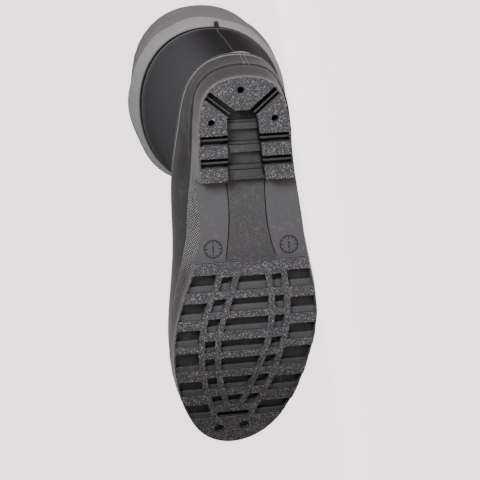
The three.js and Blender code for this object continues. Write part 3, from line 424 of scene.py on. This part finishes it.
def wear_and_highlight_layers(tree, sole, ridges, lumps):
    """What is painted pale: the ridges of the grain, as wear and as painted glints, and the lugs' shelves and
    the edges that face the heel, as painted highlights.
    """
    # Wear and painted glints: the ridges of the grain on the lugs are painted paler, dimmed towards the toe
    # by the painted shade there.
    wear_and_glints = product(
        tree,
        sole.tread,
        ridges,
        ramp(tree, lumps, 0.35, 0.6, 0.35, 1.0),
        ramp(tree, sole.toe, 0, 1, 1.0, 0.45),
    )
    # Painted light: the flat shelves of the forefoot's lugs are painted paler where the light falls on them,
    # less so towards the toe.
    lit_shelves = product(
        tree,
        band(tree, sole.over, SHELF_HEIGHT - 0.4 * MM, SHELF_HEIGHT + 0.4 * MM, 0.2 * MM),
        ramp(tree, sole.x, 150 * MM, 155 * MM),
        sole.flat,
        ramp(tree, sole.toe, 0, 0.7, 1.0, 0.4),
    )
    # Painted highlights: the top edges of the lugs and the edges of their shelves that face the heel, where
    # the light comes from, are painted paler.
    edges = band(tree, sole.over, SHELF_HEIGHT - 0.5 * MM, SHELF_HEIGHT + 0.6 * MM, 0.2 * MM)
    edges = maths(tree, "ADD", ramp(tree, sole.over, 1.0 * MM, 0.6 * MM), edges)
    edges = product(tree, edges, ramp(tree, sole.heelward, 0.2, 0.5))
    return (wear_and_glints, 1.0, 6.0), (lit_shelves, 0.6, 2.2), (edges, 0.6, 5.0)


def sole_material(look):
    """Injection moulded PVC. The mould's spark-eroded parts give the lugs a crinkled grain that glints, and
    its polished parts leave the waist and the side walls smooth, with a dull shine."""
    material, tree, shader, place = new_material("moulded PVC sole")
    sole = sole_places(tree, place)
    ridges, lumps, grain = crinkles(tree, sole, look)
    diamonds, strip = knurls(tree, sole, look)
    fine = noise(tree, place, 0.5 * MM, detail=2.0)
    relief(
        tree,
        shader,
        (product(tree, grain, sole.tread), 1.0 * MM, 1.0),
        (product(tree, diamonds, strip), 0.7 * MM, 1.0),
        (product(tree, fine, inverse(tree, sole.tread)), 0.1 * MM, 1.0),
    )

    cloud = noise(tree, place, 16 * MM, detail=4.0)
    scuff = ramp(tree, noise(tree, place, 2.5 * MM, detail=5.0, roughness=0.65), 0.52, 0.7)
    pale = mix(tree, ramp(tree, sole.x, 140 * MM, 165 * MM), (0.19, 0.19, 0.19), (0.045, 0.045, 0.045))
    coat(
        tree,
        shader,
        look.sole_colour,
        mix(tree, cloud, shade(look.sole_colour, 0.85), shade(look.sole_colour, 1.15)),
        (sole.tread, 1.0, 1.15),
        # Painted shade: the sole darker towards the toe.
        (sole.toe, 1.0, 0.3),
        *groove_layers(tree, sole),
        *waist_layers(tree, sole),
        (strip, 1.0, mix(tree, diamonds, shade(look.sole_colour, 0.25), pale)),
        # Wear, painted glints and painted highlights on the lugs.
        *wear_and_highlight_layers(tree, sole, ridges, lumps),
        (scuff, 0.1, (0.12, 0.118, 0.115)),
    )
    gloss = ramp(tree, sole.tread, 0, 1, 0.55, 0.4)
    tree.links.new(maths(tree, "ADD", gloss, product(tree, scuff, 0.1)), shader.inputs["Roughness"])
    shader.inputs["Specular IOR Level"].default_value = 0.14
    return material


def mould_lines(tree, x, z, away):
    """The raised lines where the mould's halves met: one up the shaft and a pair down the counter."""
    behind = ramp(tree, x, 30 * MM, 20 * MM)
    above = ramp(tree, z, COUNTER_TOP + 2 * MM, COUNTER_TOP + 4 * MM)
    below = ramp(tree, z, COUNTER_TOP - 1 * MM, COUNTER_TOP - 2 * MM)
    line = product(tree, ramp(tree, away, 0.7 * MM, 0.2 * MM), above, behind)
    pair = product(tree, band(tree, away, 1.5 * MM, 1.9 * MM, 0.35 * MM), below, behind)
    return maths(tree, "ADD", line, pair, clamp=True)


def painted_highlights(tree, x, z, lines, heel):
    """Painted highlights: the mould's lines, the lip of the rim, both edges of the counter and the spur,
    painted paler where they catch the light.
    """
    lines = product(tree, lines, ramp(tree, z, 60 * MM, 90 * MM, 1.0, 0.45))
    lip = ramp(tree, z, RIM_HEIGHT - 4.5 * MM, RIM_HEIGHT - 3 * MM)
    lines = maths(tree, "MAXIMUM", lines, product(tree, lip, 0.7))
    upper = product(tree, band(tree, z, 56.2 * MM, 57.8 * MM, 0.4 * MM), heel)
    lower = product(tree, band(tree, z, 52.8 * MM, 54.2 * MM, 0.5 * MM), heel)
    spur = product(tree, band(tree, z, 61.2 * MM, 64.6 * MM, 0.4 * MM), ramp(tree, x, 8 * MM, 3 * MM))
    edges = maths(tree, "ADD", maths(tree, "ADD", upper, lower), spur)
    return maths(tree, "ADD", lines, product(tree, edges, 0.75), clamp=True)


def boot_material(look):
    """Injection moulded PVC from a polished mould: an even satin shine, slightly mottled by handling, with
    the fine raised lines where the mould's halves met."""
    material, tree, shader, place = new_material("moulded PVC boot")
    x, y, z = add(tree, "ShaderNodeSeparateXYZ", links={"Vector": place}).outputs
    away = apart(tree, y, SEAM_Y)
    lines = mould_lines(tree, x, z, away)
    relief(
        tree,
        shader,
        (lines, 0.5 * MM, 1.0),
        (noise(tree, place, 1.1 * MM, detail=3.0), 0.12 * MM, 1.0),
        (noise(tree, place, 14 * MM, detail=2.0), 0.4 * MM, 0.6),
    )

    cloud = noise(tree, place, 22 * MM, detail=5.0, roughness=0.6)
    heel = ramp(tree, x, 100 * MM, 60 * MM)
    wall = product(tree, band(tree, z, 30 * MM, 52 * MM, 8 * MM), heel)
    # Painted shade: a dark band just above the counter's top, under its lip.
    counter_shadow = product(tree, band(tree, z, 58.4 * MM, 60.6 * MM, 0.6 * MM), heel)
    dull = ramp(tree, z, COUNTER_TOP, COUNTER_TOP + 22 * MM)
    # Painted shade: the middle of the shaft's back is painted darker.
    back = product(tree, dull, ramp(tree, x, 70 * MM, 60 * MM), ramp(tree, away, 40 * MM, 8 * MM))
    dust = ramp(tree, noise(tree, place, 5 * MM, detail=6.0, roughness=0.7), 0.5, 0.75)
    dust = product(tree, dust, ramp(tree, dull, 0, 1, 0.06, 0.0))
    coat(
        tree,
        shader,
        look.boot_colour,
        mix(tree, cloud, shade(look.boot_colour, 0.85), shade(look.boot_colour, 1.15)),
        (wall, 0.75, 0.45),
        # Painted light: the shaft above the counter is painted lighter, for the light on its sides.
        (dull, 1.0, 1.45),
        # Painted shade: darker again at the middle of the shaft's back.
        (back, 1.0, 0.6),
        (counter_shadow, 0.7, 0.2),
        # Painted highlights on the mould's lines, the lip, the counter's edges and the spur.
        (painted_highlights(tree, x, z, lines, heel), 0.9, 6.0),
        (dust, 1.0, (0.2, 0.195, 0.19)),
    )
    tree.links.new(ramp(tree, cloud, 0.3, 0.7, 0.42, 0.54), shader.inputs["Roughness"])
    tree.links.new(ramp(tree, dull, 0, 1, 0.015, 0.0), shader.inputs["Specular IOR Level"])
    return material


def neoprene_material(look):
    """Neoprene foam faced with knitted nylon jersey: matt, with a soft sheen at grazing angles, fine wales of
    the knit and a faint mottle. The real pitch is 0.5 mm. It is drawn at 1.1 mm, so that it shows."""
    material, tree, shader, place = new_material("neoprene with nylon jersey")
    x, y, z = add(tree, "ShaderNodeSeparateXYZ", links={"Vector": place}).outputs
    forward = maths(tree, "SUBTRACT", x, SHAFT_MIDDLE)
    middle = add(tree, "ShaderNodeCombineXYZ", links={"X": forward, "Y": y, "Z": z}).outputs["Vector"]
    around = maths(tree, "ARCTAN2", y, forward)
    wales = maths(tree, "SINE", product(tree, around, WALES))
    courses = maths(tree, "SINE", product(tree, z, 2 * math.pi / KNIT_PITCH))
    felt = noise(tree, middle, 0.7 * MM, detail=3.0)
    relief(
        tree,
        shader,
        (product(tree, wales, courses), 0.2 * MM, 1.0),
        (felt, 0.3 * MM, 1.0),
        (noise(tree, place, 9 * MM, detail=3.0), 1.4 * MM, 0.5),
    )

    cloud = noise(tree, place, 18 * MM, detail=6.0, roughness=0.65)
    coat(
        tree,
        shader,
        look.neoprene_colour,
        mix(tree, cloud, shade(look.neoprene_colour, 0.86), shade(look.neoprene_colour, 1.1)),
        (ramp(tree, felt, 0.4, 0.62), 0.4, 0.6),
        # Painted shade: the leg is painted darker from its upper bulge upwards.
        (ramp(tree, z, 316 * MM, 336 * MM), 0.65, 0.3),
        # Painted shadow in the crevice between the rim and the lowest bulge.
        (ramp(tree, z, 279.2 * MM, 277 * MM), 1.0, 0.03),
    )
    shader.inputs["Roughness"].default_value = 0.92
    shader.inputs["Specular IOR Level"].default_value = 0.0
    shader.inputs["Sheen Weight"].default_value = 0.05
    shader.inputs["Sheen Roughness"].default_value = 0.5
    return material


def felt_material():
    """Needled felt: dark, matt and fibrous."""
    material, tree, shader, place = new_material("needled felt")
    fibre = noise(tree, place, 0.6 * MM, detail=4.0, roughness=0.7)
    tree.links.new(bump(tree, fibre, 0.5 * MM), shader.inputs["Normal"])
    base = mix(tree, fibre, linear("#1b1b1c"), linear("#38383a"))
    tree.links.new(base, shader.inputs["Base Color"])
    shader.inputs["Roughness"].default_value = 0.95
    return material


def mark_material(look):
    """Raised marks on the waist: the same PVC, painted darker all over, for the shade along their outlines.
    """
    material, tree, shader, place = new_material("moulded PVC marks")
    patch = noise(tree, place, 0.8 * MM, detail=2.0)
    base = mix(tree, patch, shade(look.sole_colour, 0.5), shade(look.sole_colour, 0.9))
    tree.links.new(base, shader.inputs["Base Color"])
    shader.inputs["Roughness"].default_value = 0.6
    shader.inputs["Specular IOR Level"].default_value = 0.05
    return material


def tape_material():
    """Melted-on polyurethane seam tape: thin, smooth and darker than the jersey."""
    material, tree, shader, place = new_material("polyurethane seam tape")
    ripple = noise(tree, place, 1.4 * MM, detail=2.0)
    tree.links.new(bump(tree, ripple, 0.2 * MM), shader.inputs["Normal"])
    base = mix(tree, ripple, linear("#101010"), linear("#1c1c1c"))
    tree.links.new(base, shader.inputs["Base Color"])
    shader.inputs["Roughness"].default_value = 0.6
    shader.inputs["Specular IOR Level"].default_value = 0.05
    return material


# Shapes


def clear_selection():
    """Leaves nothing selected."""
    if bpy.context.object and bpy.context.object.mode != "OBJECT":
        bpy.ops.object.mode_set(mode="OBJECT")
    bpy.ops.object.select_all(action="DESELECT")


def work_on(piece):
    """Makes a piece the only one that operators act on."""
    clear_selection()
    piece.select_set(True)
    bpy.context.view_layer.objects.active = piece


def copy_of(node, name):
    """A copy of a CAD node with its doubles merged, ready to be shaped."""
    source = frame["nodes"][node]
    piece = bpy.data.objects.new(name, source.data.copy())
    piece.data.materials.clear()
    bpy.context.scene.collection.objects.link(piece)
    work_on(piece)
    bpy.ops.object.mode_set(mode="EDIT")
    bpy.ops.mesh.select_all(action="SELECT")
    bpy.ops.mesh.remove_doubles(threshold=0.02 * MM)
    bpy.ops.object.mode_set(mode="OBJECT")
    if piece.data.has_custom_normals:
        bpy.ops.mesh.customdata_custom_splitnormals_clear()
    return piece


def quads(piece):
    """Joins the triangles of the working piece into quads."""
    bpy.ops.object.mode_set(mode="EDIT")
    bpy.ops.mesh.select_all(action="SELECT")
    bpy.ops.mesh.tris_convert_to_quads(face_threshold=math.radians(60), shape_threshold=math.radians(60))
    bpy.ops.object.mode_set(mode="OBJECT")


def apply(piece, kind, **settings):
    """Adds a modifier to the working piece and applies it."""
    modifier = piece.modifiers.new(kind.title(), kind)
    for name, value in settings.items():
        setattr(modifier, name, value)
    bpy.ops.object.modifier_apply(modifier=modifier.name)


def points_of(piece):
    """The piece's vertices in the boot's own frame, in millimetres."""
    flat = np.empty(len(piece.data.vertices) * 3)
    piece.data.vertices.foreach_get("co", flat)
    world = flat.reshape(-1, 3)
    turn = np.array(STANDING.to_3x3())
    return (world @ turn.T + np.array(STANDING.to_translation())) / MM


def place_points(piece, points):
    """Puts the vertices back from the boot's own frame."""
    turn = np.array(LYING.to_3x3())
    world = (points * MM) @ turn.T + np.array(LYING.to_translation())
    piece.data.vertices.foreach_set("co", world.astype(np.float32).ravel())
    piece.data.update()


def normals_of(piece):
    """The vertex normals in the boot's own frame."""
    flat = np.empty(len(piece.data.vertices) * 3)
    piece.data.vertices.foreach_get("normal", flat)
    return flat.reshape(-1, 3) @ np.array(STANDING.to_3x3()).T


def step(value, low, high):
    """Smooth step from 0 to 1."""
    t = np.clip((value - low) / (high - low), 0, 1)
    return t * t * (3 - 2 * t)


def hump(value, width):
    """A soft ridge, 1 in the middle and fading over its width."""
    return np.exp(-((value / width) ** 2))


def dress(piece, material, node):
    """Gives a piece its material and lets it stand for its CAD node."""
    piece.data.materials.append(material)
    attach(piece, "root")
    if node:
        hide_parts(node)


def edge_creases(piece, chosen):
    """Marks edges that stay sharp under subdivision. Chosen tells them by the places of both ends."""
    points = points_of(piece)
    attribute = piece.data.attributes.get("crease_edge")
    if attribute is None:
        attribute = piece.data.attributes.new("crease_edge", "FLOAT", "EDGE")
    ends = np.empty(len(piece.data.edges) * 2, dtype=np.int32)
    piece.data.edges.foreach_get("vertices", ends)
    ends = ends.reshape(-1, 2)
    values = np.where(chosen(points[ends[:, 0]], points[ends[:, 1]]), 1.0, 0.0)
    attribute.data.foreach_set("value", values.astype(np.float32))


def waist_height(x):
    """Height of the waist's surface above the tread's plane at x, both in millimetres."""
    share = (x * MM - HEEL_BREAST) / (WAIST_END - HEEL_BREAST)
    fall = (WAIST_END_HEIGHT - WAIST_START_HEIGHT) * share * (1 + WAIST_HOLLOW - WAIST_HOLLOW * share)
    return (WAIST_START_HEIGHT + fall) / MM


class WADER_OT_sole(bpy.types.Operator):
    """Rounds the moulded edges of the sole and gives it its finish"""

    bl_idname = "wader.sole"
    bl_label = "Sole"

    def execute(self, context):
        look = context.scene.wader_boot
        piece = copy_of("outsole", "sole")
        apply(
            piece,
            "BEVEL",
            width=look.edge_radius,
            segments=2,
            limit_method="ANGLE",
            angle_limit=math.radians(38),
            harden_normals=False,
        )
        bpy.ops.object.shade_smooth_by_angle(angle=math.radians(32))
        apply(piece, "WEIGHTED_NORMAL", mode="FACE_AREA", keep_sharp=True)
        dress(piece, sole_material(look), "outsole")
        return {"FINISHED"}


class WADER_OT_waist_rings(bpy.types.Operator):
    """Makes the two moulded rings on the waist"""

    bl_idname = "wader.waist_rings"
    bl_label = "Waist rings"

    def execute(self, context):
        pieces = []
        for place in RING_PLACES:
            pieces += [(piece, place) for piece in self.dial()]
        for piece, place in pieces:
            self.lay(piece, place)
        clear_selection()
        for piece, _ in pieces:
            piece.select_set(True)
        bpy.context.view_layer.objects.active = pieces[0][0]
        bpy.ops.object.join()
        rings = bpy.context.object
        rings.name = "waist_rings"
        bpy.ops.object.shade_smooth_by_angle(angle=math.radians(40))
        dress(rings, mark_material(context.scene.wader_boot), None)
        return {"FINISHED"}

    def dial(self):
        """One ring with its hand and its ticks, flat at the origin."""
        clear_selection()
        bpy.ops.mesh.primitive_torus_add(
            major_radius=RING_RADIUS, minor_radius=0.45 * MM, major_segments=48, minor_segments=8
        )
        pieces = [bpy.context.object, self.bar(5.4 * MM, 0.9 * MM, 0.4 * MM, 0)]
        for tick in range(RING_TICKS):
            turn = tick * 2 * math.pi / RING_TICKS
            long = tick % 3 == 0
            length = (2.6 if long else 1.6) * MM
            reach = (5.7 if long else 6.2) * MM
            pieces.append(self.bar(length, 0.6 * MM, reach, turn))
        return pieces

    def bar(self, length, width, reach, turn):
        """A flat bar that points away from the middle."""
        bpy.ops.mesh.primitive_cube_add(size=1)
        bar = bpy.context.object
        bar.scale = (length, width, 0.7 * MM)
        bar.rotation_euler = (0, 0, turn)
        bar.location = (reach * math.cos(turn), reach * math.sin(turn), 0)
        return bar

    def lay(self, piece, place):
        """Moves a piece to its place on the waist and bends it to the surface."""
        work_on(piece)
        bpy.ops.object.transform_apply(location=True, rotation=True, scale=True)
        flat = np.empty(len(piece.data.vertices) * 3)
        piece.data.vertices.foreach_get("co", flat)
        points = flat.reshape(-1, 3) / MM + np.array((*place, 0.0))
        points[:, 2] = points[:, 2] * 1.1 + waist_height(points[:, 0])
        place_points(piece, points)


class WADER_OT_boot(bpy.types.Operator):
    """Smooths the moulded boot and works the soft creases of wear into it"""

    bl_idname = "wader.boot"
    bl_label = "Boot"

    def execute(self, context):
        look = context.scene.wader_boot
        piece = copy_of("upper", "boot_upper")
        quads(piece)

        def sharp(first, second):
            level = np.abs(first[:, 2] - second[:, 2]) < 4.0
            seat = np.maximum(first[:, 2], second[:, 2]) < 27.2
            rim = np.minimum(first[:, 2], second[:, 2]) > RIM_HEIGHT / MM - 6.5
            return level & (seat | rim)

        edge_creases(piece, sharp)
        work_on(piece)
        apply(piece, "SUBSURF", levels=2, render_levels=2)
        points = points_of(piece)
        normals = normals_of(piece)
        x, y, z = points.T
        depth = np.zeros(len(points))
        # Two soft creases run round the front of the ankle, where the foot bends the shaft.
        front = step(x, 62.0, 100.0) * step(150.0 - x, 0, 30)
        for height, lean, reach in ANKLE_CREASES:
            line = z - (height - lean * (x - 100.0))
            fold = 0.5 * hump(line - 14, 11) - hump(line, reach)
            depth += look.crease_depth / MM * front * fold
        # A shallow crease runs down the lateral side of the shaft.
        line = x - (28.0 + 0.16 * (z - 60.0))
        depth -= 0.9 * step(-y, 10, 30) * step(z, 66, 110) * step(268 - z, 4, 60) * hump(line, 9.0)
        # Slack in the thin wall of the shaft.
        wave = np.sin(0.045 * z + 0.05 * x + 2.2 * np.sin(0.03 * y))
        depth += 0.25 * step(z, 110, 170) * step(268 - z, 4, 40) * wave
        points += normals * depth[:, None]
        place_points(piece, points)
        bpy.ops.object.shade_smooth_by_angle(angle=math.radians(50))
        dress(piece, boot_material(look), "upper")
        return {"FINISHED"}


class WADER_OT_leg(bpy.types.Operator):
    """Smooths the neoprene leg and folds it softly"""

    bl_idname = "wader.leg"
    bl_label = "Neoprene leg"

    def execute(self, context):
        look = context.scene.wader_boot
        piece = copy_of("neoprene_leg", "leg")
        quads(piece)

        def sharp(first, second):
            level = np.abs(first[:, 2] - second[:, 2]) < 0.5
            return level & (np.minimum(first[:, 2], second[:, 2]) > LEG_TOP / MM - 0.5)

        edge_creases(piece, sharp)
        work_on(piece)
        apply(piece, "SUBSURF", levels=2, render_levels=2)
        points = points_of(piece)
        normals = normals_of(piece)
        x, y, z = points.T
        around = np.arctan2(y, x - LEG_MIDDLE / MM)
        # Folds run up the leg, ripples lie between its two bulges and a crease runs round the lower one.
        free = step(z, 284, 300) * step(LEG_TOP / MM - z, 10, 30)
        depth = 0.8 * np.sin(5 * around + 0.06 * z) + 0.6 * np.sin(9 * around - 0.045 * z + 1.3)
        depth += np.sin(14 * around + 0.09 * z + 0.7) * hump(z - 332, 14)
        crease_line = z - (314 + 6 * np.sin(2 * around + 0.8))
        depth -= 1.3 * hump(crease_line, 4.0) * (0.5 + 0.5 * np.sin(around * 1.5 + 2.4))
        # The side on the floor stays pressed flat.
        loose = step(y, -66.0, -40.0)
        points += normals * (depth * free * loose)[:, None]
        place_points(piece, points)
        bpy.ops.object.shade_smooth_by_angle(angle=math.radians(55))
        dress(piece, neoprene_material(look), "neoprene_leg")
        return {"FINISHED"}


class WADER_OT_insole(bpy.types.Operator):
    """Rounds the edge of the felt insole"""

    bl_idname = "wader.insole"
    bl_label = "Insole"

    def execute(self, context):
        piece = copy_of("insole", "insole_felt")
        apply(piece, "BEVEL", width=0.8 * MM, segments=2, limit_method="ANGLE", angle_limit=math.radians(50))
        bpy.ops.object.shade_smooth_by_angle(angle=math.radians(40))
        dress(piece, felt_material(), "insole")
        return {"FINISHED"}


class WADER_OT_seam_tab(bpy.types.Operator):
    """Rounds the short tab on the back seam"""

    bl_idname = "wader.seam_tab"
    bl_label = "Seam tab"

    def execute(self, context):
        piece = copy_of("seam_tab", "seam_tape_end")
        apply(piece, "BEVEL", width=0.4 * MM, segments=3, limit_method="ANGLE", angle_limit=math.radians(50))
        bpy.ops.object.shade_smooth_by_angle(angle=math.radians(50))
        dress(piece, tape_material(), "seam_tab")
        return {"FINISHED"}


# Stage

CAMERA_PLACE = Vector((-0.1695, 0.0627, -0.9471))
CAMERA_RIGHT = Vector((0.052269, -0.99584, -0.074633))
CAMERA_DOWN = Vector((0.952138, 0.072235, -0.297009))
CAMERA_FORWARD = Vector((0.301165, -0.055537, 0.951953))
LOOKED_AT = Vector((0.147, 0.0068, 0))
FOCAL_LENGTH = 93.75
SENSOR_WIDTH = 36
FLOOR_SIZE = 40
FLOOR_PLACE = (0, -18.2, 0)
BACKDROP_HEIGHT = 12
BACKDROP_BEND = 0.9


class WADER_OT_stage(bpy.types.Operator):
    """Builds the pale floor, the soft lights and the camera"""

    bl_idname = "wader.stage"
    bl_label = "Stage"

    def execute(self, context):
        look = context.scene.wader_boot
        self.floor(look)
        self.lights()
        self.camera(look)
        return {"FINISHED"}

    def floor(self, look):
        """A floor that turns up into a backdrop behind the boot."""
        clear_selection()
        bpy.ops.mesh.primitive_plane_add(size=FLOOR_SIZE, location=FLOOR_PLACE)
        floor = bpy.context.object
        floor.name = "studio_floor"
        bpy.ops.object.transform_apply(location=True)
        bpy.ops.object.mode_set(mode="EDIT")
        bpy.ops.mesh.select_all(action="DESELECT")
        bpy.ops.object.mode_set(mode="OBJECT")
        for edge in floor.data.edges:
            edge.select = all(floor.data.vertices[v].co.y > 1 for v in edge.vertices)
        bpy.ops.object.mode_set(mode="EDIT")
        bpy.ops.mesh.select_mode(type="EDGE")
        bpy.ops.mesh.extrude_region_move(TRANSFORM_OT_translate={"value": (0, 0, BACKDROP_HEIGHT)})
        bpy.ops.object.mode_set(mode="OBJECT")
        bend = {"width": BACKDROP_BEND, "segments": 16}
        apply(floor, "BEVEL", **bend, limit_method="ANGLE", angle_limit=math.radians(30))
        bpy.ops.object.shade_smooth()
        material = bpy.data.materials.new("painted studio floor")
        material.use_nodes = True
        shader = material.node_tree.nodes["Principled BSDF"]
        shader.inputs["Base Color"].default_value = (*shade(look.floor_colour, 0.05), 1)
        shader.inputs["Emission Color"].default_value = (*look.floor_colour, 1)
        shader.inputs["Emission Strength"].default_value = 3.0
        shader.inputs["Roughness"].default_value = 0.9
        floor.data.materials.append(material)

    def lights(self):
        """A large soft light from the heel's side, one above and a weak one by the camera."""
        for name, place, size, power, target in (
            ("key_light", (0.6, -0.85, 0.3), 0.4, 24, (0.05, -0.15, 0.06)),
            ("top_light", (0.2, -0.1, 1.6), 1.8, 3, (0, 0, 0.05)),
            ("front_light", (-0.3, -1.7, 0.6), 1.0, 3, (0, 0, 0.08)),
        ):
            light = bpy.data.lights.new(name, "AREA")
            light.shape = "DISK"
            light.size = size
            light.energy = power
            lamp = bpy.data.objects.new(name, light)
            bpy.context.scene.collection.objects.link(lamp)
            lamp.location = place
            lamp.rotation_euler = (Vector(target) - Vector(place)).to_track_quat("-Z", "Y").to_euler()
        world = bpy.data.worlds.new("studio")
        bpy.context.scene.world = world
        world.use_nodes = True
        background = world.node_tree.nodes["Background"]
        background.inputs["Color"].default_value = (*linear("#f4f1f1"), 1)
        background.inputs["Strength"].default_value = 0.12

    def camera(self, look):
        """Looks at the sole from where it was seen, but never from below the floor."""
        turn = LYING.to_3x3()
        middle = LYING @ LOOKED_AT
        arm = LYING @ CAMERA_PLACE - middle
        low = math.asin(arm.z / arm.length)
        high = math.asin((look.camera_height - middle.z) / arm.length)
        lift = Quaternion(arm.cross(Vector((0, 0, 1))).normalized(), max(0.0, high - low))
        right, down, forward = (lift @ (turn @ axis) for axis in (CAMERA_RIGHT, CAMERA_DOWN, CAMERA_FORWARD))
        camera = bpy.data.cameras.new("camera")
        camera.lens = FOCAL_LENGTH
        camera.sensor_width = SENSOR_WIDTH
        camera.clip_start = 0.01
        viewer = bpy.data.objects.new("camera", camera)
        bpy.context.scene.collection.objects.link(viewer)
        rotation = Matrix((right, -down, -forward)).transposed().to_4x4()
        viewer.matrix_world = Matrix.Translation(middle + lift @ arm) @ rotation
        bpy.context.scene.camera = viewer


class WADER_PT_panel(bpy.types.Panel):
    """Lists the boot's pieces and finishes"""

    bl_idname = "WADER_PT_panel"
    bl_label = "Wader boot"
    bl_space_type = "VIEW_3D"
    bl_region_type = "UI"
    bl_category = "Wader boot"

    def draw(self, context):
        for operator in OPERATORS:
            self.layout.operator(operator.bl_idname)
        for name in WaderBootLook.__annotations__:
            self.layout.prop(context.scene.wader_boot, name)


OPERATORS = (
    WADER_OT_sole,
    WADER_OT_waist_rings,
    WADER_OT_boot,
    WADER_OT_leg,
    WADER_OT_insole,
    WADER_OT_seam_tab,
    WADER_OT_stage,
)
CLASSES = (WaderBootLook, *OPERATORS, WADER_PT_panel)


def register():
    for cls in CLASSES:
        bpy.utils.register_class(cls)
    bpy.types.Scene.wader_boot = bpy.props.PointerProperty(type=WaderBootLook)


def unregister():
    del bpy.types.Scene.wader_boot
    for cls in reversed(CLASSES):
        bpy.utils.unregister_class(cls)


def main():
    register()
    for operator in OPERATORS:
        group, name = operator.bl_idname.split(".")
        getattr(getattr(bpy.ops, group), name)()


if __name__ == "__main__":
    main()
